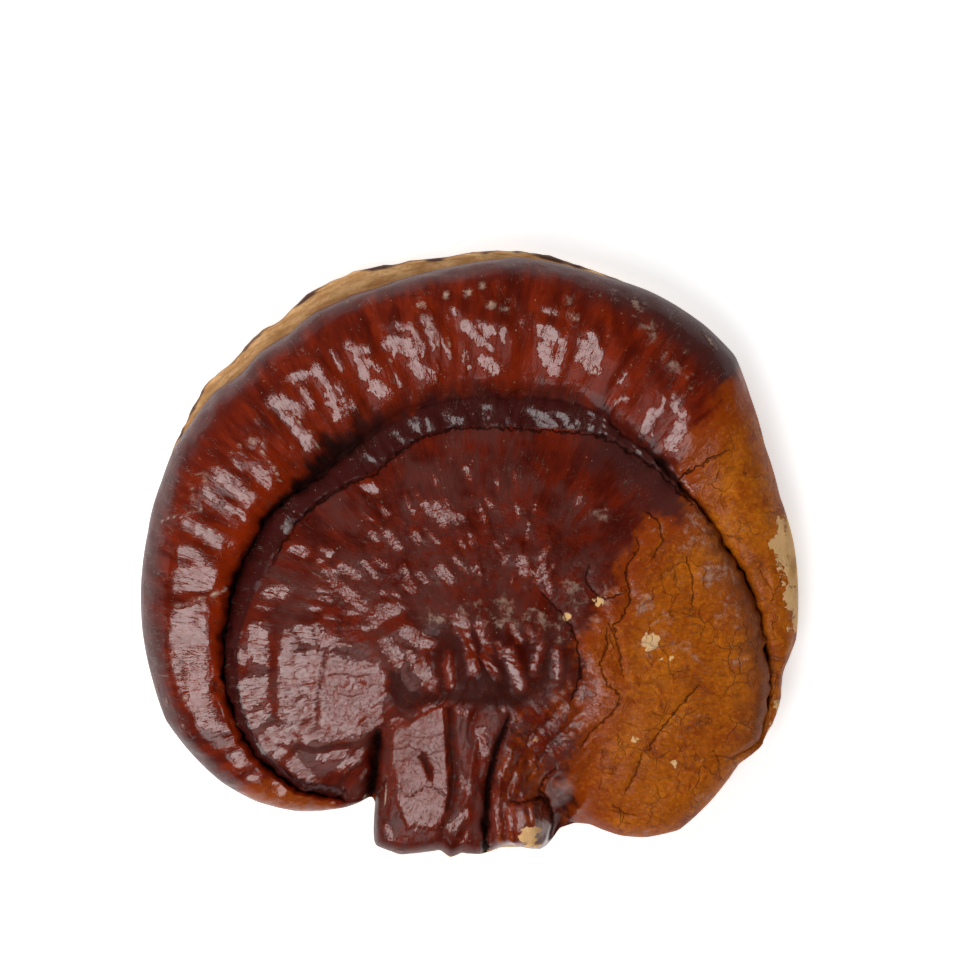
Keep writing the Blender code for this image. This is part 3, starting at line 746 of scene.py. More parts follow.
class Skin:
    """A ball's points laid out as rings and segments, with the two poles that close it."""

    def __init__(self, name, segments, rings):
        bpy.ops.object.select_all(action="DESELECT")
        bpy.ops.mesh.primitive_uv_sphere_add(segments=segments, ring_count=rings + 1, radius=1)
        self.piece = bpy.context.active_object
        self.piece.name = name
        self.piece.data.name = name
        mesh = self.piece.data
        places = np.empty(len(mesh.vertices) * 3)
        mesh.vertices.foreach_get("co", places)
        places = places.reshape(-1, 3)
        height = np.clip(places[:, 2], -1, 1)
        ring = np.rint((1 - np.arcsin(height) / (math.pi / 2)) / 2 * (rings + 1)).astype(int)
        turn = np.arctan2(places[:, 1], places[:, 0]) / (2 * math.pi)
        segment = np.rint(turn * segments).astype(int) % segments
        self.poles = np.flatnonzero(ring == 0), np.flatnonzero(ring == rings + 1)
        on_ring = (ring > 0) & (ring < rings + 1)
        self.index = np.empty((rings, segments), int)
        self.index[ring[on_ring] - 1, segment[on_ring]] = np.flatnonzero(on_ring)
        self.count = len(places)

    def shape(self, points, top, foot):
        places = np.empty((self.count, 3))
        places[self.index] = points
        places[self.poles[0]] = top
        places[self.poles[1]] = foot
        self.piece.data.vertices.foreach_set("co", places.reshape(-1))
        self.piece.data.update()
        bpy.ops.object.shade_smooth()

    def store(self, name, values):
        """Keeps one number for each point; each pole takes the mean of the ring beside it."""
        flat = np.empty(self.count)
        flat[self.index] = values
        flat[self.poles[0]] = np.mean(values[0])
        flat[self.poles[1]] = np.mean(values[-1])
        layer = self.piece.data.attributes.new(name, "FLOAT", "POINT")
        layer.data.foreach_set("value", flat)

    def store_place(self, name, values):
        flat = np.zeros((self.count, 3))
        flat[self.index] = values
        flat[self.poles[0]] = values[0].mean(0)
        flat[self.poles[1]] = values[-1].mean(0)
        layer = self.piece.data.attributes.new(name, "FLOAT_VECTOR", "POINT")
        layer.data.foreach_set("vector", flat.reshape(-1))


def ring_arrays(rings):
    """Radius, height and zone of every point, one row for each ring."""
    radius, height = (np.array([ring[part] for ring in rings]) for part in (0, 1))
    return radius, height, np.array([np.full_like(radius[0], ring[2]) for ring in rings])


def plain_skin(radius, height, bearings):
    """The points of a skin before its relief, and how far along the skin each is from the hub."""
    turn = np.radians(bearings)[None, :]
    points = np.stack([radius * np.cos(turn), radius * np.sin(turn), height], axis=-1)
    steps = np.linalg.norm(np.diff(points, axis=0), axis=-1)
    return points, np.vstack([radius[:1], radius[:1] + np.cumsum(steps, axis=0)])


def outward(points):
    """The outward direction at each point of a skin."""
    along = np.gradient(points, axis=0)
    across = np.roll(points, -1, axis=1) - np.roll(points, 1, axis=1)
    normal = np.cross(along, across)
    return normal / np.maximum(np.linalg.norm(normal, axis=-1, keepdims=True), 1e-12)


def middle_of_outline():
    """Where the middle of the outline is from the hub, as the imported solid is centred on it."""
    radii = radius_around(OUTLINE_PX, 0.6)
    turn = np.radians(TABLE_BEARINGS)
    x, y = radii * np.cos(turn), radii * np.sin(turn)
    return np.array([(x.min() + x.max()) / 2, (y.min() + y.max()) / 2, 0])


# Relief of the crust

def folds(form, run, zone, sizes):
    """Folds that run outward from the hub, raised along the skin's own direction."""
    ring = form.ring[None, :]
    broad, lumps = grown(form, run, 9.0, 9, 3), grown(form, run, 15.0, 8, 11)
    fine, rows = grown(form, run, 38.0, 5, 23), grown(form, run, 5.0, 2.6, 41, 1)
    on_disc = eased(zone / 0.16) * (1 - 0.55 * eased((zone - 0.72) / 0.15)) * (zone <= 1.0)
    on_band = within(zone, 0.98, 0.1, 2.15, 0.2) * ring
    on_roll = within(zone, 1.9, 0.4, 3.93, 0.35) * ring
    on_edge = within(zone, 0.98, 0.1, 3.8, 0.6) * (1 - ring)
    pleats = grown(form, run, 31.0, 6, 29, 1)
    pleated = within(run, 8 * MM, 5 * MM, 34 * MM, 9 * MM)
    pleated = 0.02 + 0.07 * pleated * eased(0.6 + 0.8 * broad)
    height = on_disc * (0.10 * broad + 0.10 * lumps + 0.03 * fine + 0.015 * rows + pleated * pleats)
    height += on_band * (0.55 * lumps + 0.28 * fine)
    height += on_roll * (0.27 * lumps + 0.16 * broad + 0.11 * fine + 0.03 * rows)
    height += on_edge * (0.22 * broad + 0.04 * fine)
    return height * sizes.fold_height


def raised_forms(x, y, zone, wander):
    """Rounds of growth, rises, ridges, lumps and plates."""
    on_disc = (zone <= 1.0) * eased((1.02 - zone) / 0.1)
    wavy = plane_noise(x, y, 11, 53, 2) * 2.6 * MM
    patchy = np.clip(0.55 + 0.9 * plane_noise(x, y, 8, 59), 0, 1.2)
    height, radius = np.zeros_like(x), np.hypot(x, y)
    for distance_px, half_width, rise in GROWTH_ROUNDS:
        wave = bell((radius + wavy - distance_px * PX) / (half_width * MM))
        height += on_disc * wave * patchy * rise * MM
    for middle_px, reach, rise in RISES.values():
        mx, my = from_hub([middle_px])
        height += rise * MM * np.exp(-(((x - mx) ** 2 + (y - my) ** 2) / (reach * MM) ** 2))
    for route_px, half_width, *rise in RIDGES.values():
        distance, share, _ = along_route(x, y, route_px)
        height += tapered(share, *rise) * bell((distance + wander * 0.5) / (half_width * MM))
    for middle_px, half_length, half_width, rise in LUMPS:
        mx, my = from_hub([middle_px])
        far = np.hypot(mx, my)
        outward_part = ((x - mx) * mx + (y - my) * my) / far
        across_part = ((x - mx) * my - (y - my) * mx) / far
        away = np.hypot(outward_part / (half_length * PX), across_part / (half_width * PX))
        height += rise * MM * bell(away, 2.6)
    for plate_px, softness, rise in PLATES.values():
        inside = inside_outline(x, y, plate_px) + wander * 0.5
        height += rise * MM * eased(inside / (softness * MM) + 0.5)
    return height


def relief(x, y, zone):
    """What stands up from the plain form, or is sunk into it, straight up and down, and the masks of its
    hollows and cracks, where shade is painted dark."""
    wander = plane_noise(x, y, 1.6, 71) * 0.35 * MM
    height = raised_forms(x, y, zone, wander)
    pleated = np.zeros_like(x)
    for start_px, end_px, half_width, rise in PLEATS:
        distance, _, _ = along_route(x, y, (start_px, end_px))
        pleat = bell((distance + wander * 0.5) / (half_width * MM))
        height += rise * MM * pleat
        pleated = np.maximum(pleated, pleat)
    for start_px, end_px, half_width in FACETS:
        if math.dist(start_px, BOSS_PX) < BOSS_FACETS_PX:
            distance, _, _ = along_route(x, y, (start_px, end_px))
            pleated = np.maximum(pleated, bell(distance / (1.25 * half_width * PX), 4))
    mx, my = from_hub([BOSS_PX])
    boss = bell(np.hypot((x - mx) / (BOSS_REACH_PX[0] * PX), (y - my) / (BOSS_REACH_PX[1] * PX)), 6)
    # Painted shade: the hollows between the boss's pleats, the sunk hollows, the deep cracks and the band
    # under the boss are laid dark red, and their lacquer is dull.
    hollow = boss * (1 - eased(pleated / 0.5)) * 0.95
    for route_px, half_width, *depth in HOLLOWS.values():
        distance, share, _ = along_route(x, y, route_px)
        depth = tapered(share, *depth)
        sunk = bell((distance + wander * min(1.0, 0.3 + half_width)) / (half_width * MM), 1.6)
        height -= depth * sunk
        hollow = np.maximum(hollow, sunk * np.minimum(depth / (0.7 * MM), 1))
    satin = inside_outline(x, y, SATIN_PX) / (1.6 * MM) + 0.5
    hollow = np.maximum(hollow, 0.95 * eased(satin + 0.9 * wander / MM))
    cracked, masks = cracks(x, y, hollow)
    return height - cracked, masks


def cracks(x, y, hollow):
    """How deep the cracks are, and masks of the deep ones, whose bottoms are painted dark as shade, of the
    dull ground beside them, and of the dark line at their bottom, which is given as its widths away."""
    jagged = (0.45 * plane_noise(x, y, 2.4, 73) + 0.16 * plane_noise(x, y, 0.8, 79)) * MM
    cracked, sunk_mask, dull = np.zeros_like(x), np.zeros_like(x), np.zeros_like(x)
    line, near_line = np.full_like(x, 40.0), np.zeros_like(x)
    for name, (route_px, half_width, *depths) in (*CRACKS.items(), ("parting", PARTING)):
        distance, share, side = along_route(x, y, route_px)
        depth = tapered(share, *depths)
        ends = eased(share / 0.12) * (eased((1 - share) / 0.12) if name == "parting" else 1.0)
        sunk = bell((distance + jagged) / (max(half_width, 0.42) * MM), 1.6) * ends
        cracked += depth * sunk
        if depths[1] > DEEP_CRACK:
            sunk_mask = np.maximum(sunk_mask, sunk**2 * np.minimum(depth / (1.3 * MM), 1))
            hollow = np.maximum(hollow, sunk)
        near = bell(distance / (max(half_width, 0.3) * 2.2 * MM)) * ends
        dull = np.maximum(dull, near * np.minimum(depth / (0.6 * MM), 1))
        widths = side * distance / ((0.08 + 0.5 * half_width) * MM)
        closer = np.abs(widths) < np.abs(line)
        line = np.where(closer, widths, line)
        strength = ends * eased(depth / (0.5 * MM))
        near_line = np.where(closer, eased(2.2 - distance / (0.7 * MM)) * strength, near_line)
    masks = {"hollow": hollow, "line": np.clip(line, -8, 8), "near_line": near_line}
    return cracked, {**masks, "sunk": sunk_mask, "dull": dull}


def small_facets():
    """Small shining streaks between the larger places, on the disc's pleats and on the roll's inner side."""
    facets = []
    crest = radius_around(CREST_PX, 2.0) / PX
    for kind in (0, 1):
        corners = np.array([(i, 7 * i, kind) for i in range(SMALL_FACETS)])
        for place, size in zip(scattered(corners, 211), scattered(corners, 223)):
            bearing = (108 + 62 * place[0], 122 + 88 * place[0])[kind]
            reach = (128 + 52 * place[1], at(bearing, crest) - 20 + 24 * place[1])[kind]
            length = 9 + 5 * size[0]
            turn, lean_on = math.radians(bearing), math.radians(bearing + 12 * (1 - kind) + 10 * place[2])
            start = (HUB_PX[0] + reach * math.cos(turn), HUB_PX[1] - reach * math.sin(turn))
            end = (start[0] + length * math.cos(lean_on), start[1] - length * math.sin(lean_on))
            facets.append((start, end, 1.7 + 0.7 * size[1]))
    return facets


def lean(points, zone, ragged, spared, middle, sizes):
    """Leans the faces that shine in the photograph half way between the camera and the main softbox. The
    heights come from the slopes asked for there and the slopes as they were elsewhere, while the whole stays
    near the height it had. Gives back where the crust shines."""
    x, y, z = (points[..., i] for i in range(3))
    shine, asked = np.zeros_like(x), np.zeros_like(x)
    for outline_px in FACES.values():
        weight = eased((inside_outline(x, y, outline_px) - 1.7 * ragged) / (0.9 * MM) + 0.5)
        asked = np.maximum(asked, weight)
        shine = np.maximum(shine, weight)
    for start_px, end_px, half_width in (*FACETS, *small_facets()):
        distance, _, _ = along_route(x, y, (start_px, end_px))
        eaten = ragged * min(1.0, half_width / 2.6)
        share = np.maximum(distance + eaten, 0) / (half_width * PX * 1.2)
        asked = np.maximum(asked, bell(share, 4))
        shine = np.maximum(shine, bell(share / 1.12, 4))
    asked = asked * (zone < 3.9) * (1 - spared) * FACET_SHARE
    place = np.stack([x - middle[0], y - middle[1], z], axis=-1)
    to_camera, to_softbox = np.array(camera_place(sizes)) - place, np.array(SOFTBOX_PLACE) - place
    to_camera /= np.linalg.norm(to_camera, axis=-1, keepdims=True)
    to_softbox /= np.linalg.norm(to_softbox, axis=-1, keepdims=True)
    facing = to_camera + to_softbox
    slope_x, slope_y = -facing[..., 0] / facing[..., 2], -facing[..., 1] / facing[..., 2]

    def onward(values, axis):
        return np.roll(values, -1, axis=axis) - values

    def halfway(values, axis):
        return (np.roll(values, -1, axis=axis) + values) / 2

    steps = [np.maximum(np.hypot(onward(x, axis), onward(y, axis)), LEAST_STEP) for axis in (0, 1)]
    grips, changes = [], []
    for axis in (0, 1):
        grip = steps[1 - axis] / steps[axis]
        wanted = halfway(slope_x, axis) * onward(x, axis) + halfway(slope_y, axis) * onward(y, axis)
        change = halfway(asked, axis) * (wanted - onward(z, axis))
        grip = grip * (1 + FACET_GRIP * halfway(asked, axis) ** 2)
        if axis == 0:
            grip[-1], change[-1] = 0, 0
        grips.append(grip)
        changes.append(change)
    hold = steps[0] * steps[1] / (HOLD_REACH * MM) ** 2
    hold = np.where(zone >= 3.95, HELD_FAST, hold)

    def pulled(grip_change, axis):
        return np.roll(grip_change, 1, axis=axis) - grip_change

    def applied(values):
        total = hold * values
        for axis in (0, 1):
            total = total + pulled(grips[axis] * onward(values, axis), axis)
        return total

    wanted = sum(pulled(grips[axis] * changes[axis], axis) for axis in (0, 1))
    evenness = hold + sum(grips[axis] + np.roll(grips[axis], 1, axis=axis) for axis in (0, 1))
    lift = np.zeros_like(z)
    left = wanted - applied(lift)
    ready = left / evenness
    direction, strength = ready, (left * ready).sum()
    for _ in range(LEAN_ROUNDS):
        image = applied(direction)
        length = strength / (direction * image).sum()
        lift = lift + length * direction
        left = left - length * image
        ready = left / evenness
        stronger = (left * ready).sum()
        direction, strength = ready + stronger / strength * direction, stronger
    lifted = z + lift
    points[..., 2] = np.minimum(lifted, TOP_EASED + (lifted - TOP_EASED) * 0.35)
    return shine * (1 - spared)


def camera_place(sizes):
    aim_x = (PHOTO_SIDE_PX / 2 - CAP_MIDDLE_PX[0]) * PX
    aim_y = (CAP_MIDDLE_PX[1] - PHOTO_SIDE_PX / 2) * PX
    return Vector((aim_x, aim_y, sizes.camera_height + 9 * MM))


def spot(x, y, middle_px, reach):
    mx, my = from_hub([middle_px])
    return np.hypot(x - mx, y - my) / (reach * MM)


# Materials

# The coat of lacquer, the crust under it, the pore side and the floor.
COAT_WEIGHT, COAT_ROUGHNESS, COAT_IOR = 0.90, 0.09, 1.5
CRUST_SPECULAR, CRUST_IOR = 0.08, 1.45
CRUST_BUMP, COAT_BUMP, PORE_BUMP = 0.40 * MM, 0.29 * MM, 0.3 * MM
PORE_ROUGHNESS, PORE_BUMP_STRENGTH = 0.62, 0.8
FLOOR_ROUGHNESS, FLOOR_GLOW, FLOOR_MOTTLE = 0.8, 0.56, (0.9, 0.9, 0.9)


class Nodes:
    """Short ways to add and join shader nodes in one tree."""

    def __init__(self, tree):
        self.tree = tree

    def add(self, kind, values=None, **settings):
        node = self.tree.nodes.new(kind)
        for name, value in settings.items():
            setattr(node, name, value)
        for socket, value in (values or {}).items():
            self.feed(node.inputs[socket], value)
        return node

    def feed(self, socket, value):
        """Links or sets a socket; a name stands for the mask of that name on the piece."""
        if isinstance(value, str):
            value = self.attribute(value)
        if isinstance(value, bpy.types.NodeSocket):
            self.tree.links.new(value, socket)
        elif socket.type == "RGBA":
            socket.default_value = (*value, 1.0)
        else:
            socket.default_value = value

    def attribute(self, name, output="Fac"):
        return self.add("ShaderNodeAttribute", attribute_name=name).outputs[output]

    def math(self, operation, first, second=0.0, clamp=False):
        node = self.add("ShaderNodeMath", operation=operation, use_clamp=clamp)
        self.feed(node.inputs[0], first)
        self.feed(node.inputs[1], second)
        return node.outputs[0]

    def times(self, first, second):
        return self.math("MULTIPLY", first, second)

    def plus(self, *values):
        return functools.reduce(functools.partial(self.math, "ADD"), values)

    def minus(self, first, second):
        return self.math("SUBTRACT", first, second)

    def most(self, *values):
        return functools.reduce(functools.partial(self.math, "MAXIMUM"), values)

    def swing(self, pattern, strength):
        """How far a pattern is from its middle, times a strength."""
        return self.times(self.minus(pattern, 0.5), strength)

    def spread(self, value, low, high, to_low=0.0, to_high=1.0):
        node = self.add("ShaderNodeMapRange", interpolation_type="SMOOTHSTEP")
        for i, item in enumerate((value, low, high, to_low, to_high)):
            self.feed(node.inputs[i], item)
        return node.outputs[0]

    def mix(self, share, first, second):
        node = self.add("ShaderNodeMix", data_type="RGBA")
        for socket, value in (("Factor", share), ("A", first), ("B", second)):
            self.feed(node.inputs[socket], value)
        return node.outputs["Result"]

    def laid(self, tint, *layers):
        """Lays colours over a tint, each by its share."""
        for share, colour in layers:
            tint = self.mix(share, tint, colour)
        return tint

    def scaled(self, vector, scale):
        values = {"Vector": vector, "Scale": scale}
        return self.add("ShaderNodeMapping", values, vector_type="POINT").outputs["Vector"]

    def noise(self, vector, scale, detail=3.0, roughness=0.55, distortion=0.0):
        values = {
            "Vector": vector, "Scale": scale, "Detail": detail, "Roughness": roughness,
            "Distortion": distortion,
        }
        return self.add("ShaderNodeTexNoise", values).outputs["Fac"]

    def clouds(self, vector, scale):
        values = {"Vector": vector, "Scale": scale, "Detail": 3}
        return self.add("ShaderNodeTexNoise", values).outputs["Color"]

    def cells(self, vector, scale, feature="DISTANCE_TO_EDGE", output="Distance"):
        node = self.add("ShaderNodeTexVoronoi", {"Vector": vector, "Scale": scale}, feature=feature)
        return node.outputs[output]

    def pattern(self, group, *values):
        """The mask of a shared pattern, given its inputs in their order."""
        return self.add("ShaderNodeGroup", dict(enumerate(values)), node_tree=group).outputs["Mask"]

    def bumped(self, height, distance, strength=1.0):
        values = {"Height": height, "Distance": distance, "Strength": strength}
        return self.add("ShaderNodeBump", values).outputs["Normal"]


def shared_pattern(name, vectors, numbers, build):
    """A node group that makes one mask; it is made once, and every material that has the pattern uses it."""
    if name in bpy.data.node_groups:
        return bpy.data.node_groups[name]
    group = bpy.data.node_groups.new(name, "ShaderNodeTree")
    for kind, sockets in (("NodeSocketVector", vectors), ("NodeSocketFloat", numbers)):
        for socket in sockets:
            group.interface.new_socket(socket, in_out="INPUT", socket_type=kind)
    group.interface.new_socket("Mask", in_out="OUTPUT", socket_type="NodeSocketFloat")
    n = Nodes(group)
    given = n.add("NodeGroupInput").outputs
    n.feed(n.add("NodeGroupOutput").inputs["Mask"], build(n, given))
    return group


def blotches():
    """Soft blotches, the same way everywhere."""
    return shared_pattern(
        "blotches", ("Place",), ("Scale",), lambda n, given: n.noise(given["Place"], given["Scale"], 4, 0.6)
    )


def streaks():
    """Streaks that follow growth, drawn out by their stretch."""
    return shared_pattern(
        "grown_streaks", ("Growth", "Stretch"), ("Scale", "Detail", "Roughness", "Distortion"),
        lambda n, given: n.noise(
            n.scaled(given["Growth"], given["Stretch"]),
            *(given[name] for name in ("Scale", "Detail", "Roughness", "Distortion"))
        ),
    )


def new_material(name):
    material = bpy.data.materials.new(name)
    material.use_nodes = True
    nodes = Nodes(material.node_tree)
    return material, nodes, material.node_tree.nodes["Principled BSDF"]


def growing_tint(n, colours, place, blotch, patch, fine, streak, grain):
    """The colour of the ochre side, and how ripe it is at each place."""
    mixed = n.plus(n.swing(blotch, 1.0), n.swing(streak, 0.6), n.swing(fine, 0.3))
    golden = n.laid(
        colours.ochre,
        (n.spread(n.noise(place, 75, 5, 0.6), 0.38, 0.66), colours.amber),
        (n.spread(patch, 0.46, 0.66, 0, 0.7), colours.russet),
        (n.spread(fine, 0.50, 0.64, 0, 0.20), colours.umber),
        (n.spread(blotch, 0.52, 0.66, 0, 0.6), colours.russet),
        (n.spread(streak, 0.5, 0.7, 0, 0.35), colours.umber),
        (n.spread("ochre", 0.75, 1.0, 0.65, 0), colours.russet),
        (n.spread(grain, 0.34, 0.50, 0.28, 0), colours.umber),
        (n.spread(grain, 0.50, 0.68, 0, 0.34), colours.gold),
    )
    return golden, n.plus("ochre", n.times(mixed, n.spread("ochre", 0.05, 0.40)))


def lacquer_tint(n, colours, place, blotch, patch, streak, band_streak):
    """The colour of the disc, the roll and the dark band between them, with painted shade, sheen, highlight
    and light laid into it.
    """
    # Painted sheen: a greyish purple veil laid over the disc in patches, standing for the lacquer's hazy
    # reflection.
    painted_sheen = n.times(n.spread(n.noise(place, 95, 3, 0.6), 0.38, 0.58), n.spread(band_streak, 0.33, 0.52))
    disc = n.laid(
        colours.lacquer,
        (n.spread(blotch, 0.35, 0.7, 0, 0.8), colours.lacquer_dark_and_shade),
        (n.spread(band_streak, 0.42, 0.62, 0, 0.7), colours.lacquer_dark_and_shade),
        (n.times(painted_sheen, 0.85), colours.painted_sheen),
    )
    roll = n.laid(
        colours.roll_dark,
        (n.spread(streak, 0.3, 0.7), colours.roll),
        (n.spread(patch, 0.50, 0.68, 0, 0.7), colours.roll_dark),
        (n.spread(band_streak, 0.50, 0.64, 0, 0.6), colours.lacquer_dark_and_shade),
    )
    return n.laid(
        disc,
        ("warm", roll),
        # Painted shade: the hollows, the gaps between the boss's pleats, the deep cracks and the band under
        # the boss are laid dark red.
        (n.times("hollow", 0.85), colours.hollow),
        (n.times(n.spread(streak, 0.5, 0.78, 0, 0.4), "far"), colours.lacquer_bright_and_highlight),
        # The roll's own orange red on its inner side, partly painted light on the left
        (n.times("inner", n.spread(patch, 0.25, 0.6, 0.6, 1.0)), colours.inner_orange_and_painted_light),
        # Painted shade at the foot of the roll and between its lumps
        (n.times("gap_shade", 0.85), colours.furrow),
        # Painted shade round the boss
        ("shade", colours.lacquer_dark_and_shade),
        # Painted highlight: the red is brighter where the coat shines.
        (n.times("shine", 0.6), colours.lacquer_bright_and_highlight),
        ("band", colours.band),
        # Worn upper right, and painted sheen along the roll's outer side
        ("dusky_wear_and_sheen", colours.dusky_wear_and_sheen),
    )


def crackle(n, place, blotch):
    """Fine lines where the growing side has crackled."""
    shift = n.scaled(n.clouds(place, 300), (0.0036, 0.0036, 0.0036))
    shifted = n.add("ShaderNodeVectorMath", {0: place, 1: shift}, operation="ADD").outputs[0]
    small = n.times(n.spread(n.cells(shifted, 620), 0.0, 0.10, 0.45, 0), n.spread(blotch, 0.42, 0.58))
    lines = n.most(n.spread(n.cells(shifted, 200), 0.0, 0.036, 1, 0), small)
    broken = n.spread(n.noise(place, 150, 2), 0.42, 0.56)
    return n.times(lines, n.times(broken, "crackle"))


def crust_material(colours):
    material, n, shader = new_material("lacquered_crust")
    place = n.add("ShaderNodeTexCoord").outputs["Object"]
    growth = n.attribute("growth", "Vector")
    blotch = n.pattern(blotches(), place, 130)
    patch = n.noise(place, 300, 4, 0.6, 0.5)
    fine = n.noise(place, 900, 4, 0.6)
    grain = n.noise(place, 1300, 4, 0.68)
    smear = n.noise(place, 620, 5, 0.76, 0.2)

    def streaked(stretch, scale, detail, roughness, distortion=0.0):
        return n.pattern(streaks(), growth, stretch, scale, detail, roughness, distortion)

    streak = streaked((1, 1, 0.16), 520, 4, 0.6)
    band_streak = streaked((1, 1, 0.10), 250, 4, 0.62)

    tint = lacquer_tint(n, colours, place, blotch, patch, streak, band_streak)
    golden, ripe = growing_tint(n, colours, place, blotch, patch, fine, streak, grain)
    ochre_share = n.spread(ripe, 0.42, 0.78)
    crackled = crackle(n, place, blotch)
    chips = n.times(n.plus(n.swing(fine, 2.6), n.swing(patch, 4.5)), n.spread("cream", 0.0, 0.3))
    cream = n.spread(n.plus("cream", chips), 0.44, 0.56)
    chipped = n.mix(n.spread(blotch, 0.45, 0.7), colours.cream, colours.tan)
    flesh = n.spread(n.plus("flesh", n.swing(fine, 0.8)), 0.4, 0.6)
    # Pale worn places, partly real wear, partly painted glints and sheen on fine wrinkles.
    near_wear_and_glints = n.spread("dusty", 0.0, 0.35)
    worn = n.plus(n.swing(patch, 3.0), "dusty", n.swing(smear, 5.0))
    worn = n.times(n.spread(worn, 0.30, 1.45), near_wear_and_glints)
    worn = n.times(worn, n.spread("dusty", 0.50, 0.90, 0.46, 0.85))
    hair = n.math("ABSOLUTE", n.minus(streaked((1, 1, 0.10), 620, 3, 0.6, 0.6), 0.5))
    hair = n.times(n.spread(hair, 0.0, 0.010, 1, 0), n.spread(n.noise(place, 170, 3), 0.47, 0.60))
    hair = n.times(hair, "far")
    speck_size = n.spread(n.noise(place, 1500, 2), 0.46, 0.66, 0.02, 0.15)
    speck_and_glint = n.math("GREATER_THAN", speck_size, n.cells(place, 820, "F1"))
    speck_and_glint = n.times(speck_and_glint, n.spread(n.noise(place, 260, 3), 0.45, 0.60))
    across = n.math("ABSOLUTE", n.plus("line", n.swing(n.noise(place, 700, 4, 0.7), 11)))
    crack = n.times(n.spread(across, 0.2, 1.0, 1, 0), n.spread("near_line", 0.0, 0.8))
    tint = n.laid(
        tint,
        (n.spread(ripe, 0.18, 0.48), colours.russet),
        (ochre_share, golden),
        ("margin", colours.margin),
        (n.times(crackled, 0.42), colours.umber),
        (cream, chipped),
        (flesh, colours.tan),
        # Pale worn places, scratches and specks: partly real wear, partly painted glints and sheen.
        (worn, colours.dust),
        (n.times(hair, 0.30), colours.dust),
        (n.times(speck_and_glint, 0.40), colours.dust),
        (n.times(crack, 0.80), n.mix(ochre_share, colours.furrow, colours.split)),
        # Painted shade: the bottoms of the furrow and of the deep cracks are laid near black.
        ("sunk", colours.furrow),
    )
    n.feed(shader.inputs["Base Color"], tint)

    matt = n.most(cream, flesh, n.times(worn, 0.5), crack, "dull")
    shine = n.plus("shine", n.swing(streaked((1, 1, 0.35), 1300, 4, 0.7, 0.3), 2.8))
    shine = n.times(n.spread(shine, 0.38, 0.66), n.spread("shine", 0.0, 0.2))
    calm = n.times("calm", n.minus(1.0, shine))
    rough = n.plus(
        0.16, n.times(n.most(calm, "hollow"), 0.30), n.times(ochre_share, 0.32), n.swing(patch, 0.2)
    )
    n.feed(shader.inputs["Roughness"], n.most(rough, n.times(matt, 0.75)))
    shader.inputs["Specular IOR Level"].default_value = CRUST_SPECULAR
    mottle = n.spread(n.noise(place, 480, 5, 0.68, 0.6), 0.42, 0.64, 0, 0.42)
    dull = n.most(
        matt, n.times(ochre_share, 0.74), n.times(calm, 0.765), "hollow", n.times("edge", 0.86),
        n.times("band", 0.42), n.times("stem", 0.26),
        n.times(n.spread("inner", 0.0, 0.28, 0, 0.84), n.minus(1.0, shine)),
        n.times(mottle, n.minus(1.0, n.times("streaky", 0.6))), n.times(speck_and_glint, 0.8),
    )
    n.feed(shader.inputs["Coat Weight"], n.math("SUBTRACT", COAT_WEIGHT, dull, clamp=True))
    shader.inputs["Coat Roughness"].default_value = COAT_ROUGHNESS
    shader.inputs["Coat IOR"].default_value = COAT_IOR
    shader.inputs["IOR"].default_value = CRUST_IOR

    lively = n.minus(1.0, n.most(n.times(calm, 0.6), n.times(shine, 0.35)))
    lively = n.most(lively, ochre_share)
    height = n.plus(
        n.times(n.times(streaked((1, 1, 0.3), 700, 3, 0.55), "far"), n.times(lively, 0.42)),
        n.times(n.noise(place, 560, 5, 0.62, 0.5), n.times(lively, 0.40)),
        n.times(n.times(streaked((1, 1, 0.06), 2400, 2, 0.5), "far"), 0.12),
        n.times(hair, 0.22),
        n.times(streaked((1, 1, 0.22), 900, 1, 0.5, 0.4), n.times("streaky", 0.38)),
        n.times(n.times(streaked((0.22, 0.22, 1), 900, 2, 0.5), "far"), 0.15),
        n.times(n.times(smear, near_wear_and_glints), 0.5),
        n.times(crackled, -0.40),
        n.times(n.times(grain, ochre_share), 0.35),
        n.times(crack, -0.9),
        n.times(cream, 0.3),
    )
    n.feed(shader.inputs["Normal"], n.bumped(height, CRUST_BUMP))
    n.feed(shader.inputs["Coat Normal"], n.bumped(height, COAT_BUMP))
    return material


def pore_material(colours):
    material, n, shader = new_material("pore_side")
    place = n.add("ShaderNodeTexCoord").outputs["Object"]
    growth = n.attribute("growth", "Vector")
    layers = n.pattern(streaks(), growth, (0.2, 0.2, 1), 1100, 3, 0.6, 0.0)
    grain = n.pattern(streaks(), growth, (0.5, 0.5, 1), 2600, 3, 0.6, 0.0)
    hole = n.times(n.spread(n.cells(place, 2600, "F1"), 0.25, 0.45, 1, 0), "pores")
    tint = n.laid(
        colours.lip,
        (n.spread(n.pattern(blotches(), place, 160), 0.44, 0.72), colours.tan),
        (n.spread(layers, 0.44, 0.62, 0, 0.62), colours.lip_dark_and_shade),
        (n.spread(grain, 0.48, 0.66, 0, 0.42), colours.lip_dark_and_shade),
        # Painted shade at the lip's root, under the roll
        ("shaded", colours.lip_dark_and_shade),
        ("rim", colours.rim),
        ("pores", colours.pores),
        (n.times(hole, 0.6), colours.rim),
    )
    n.feed(shader.inputs["Base Color"], tint)
    shader.inputs["Roughness"].default_value = PORE_ROUGHNESS
    height = n.minus(n.times(layers, 0.6), n.times(hole, 0.8))
    n.feed(shader.inputs["Normal"], n.bumped(height, PORE_BUMP, PORE_BUMP_STRENGTH))
    return material


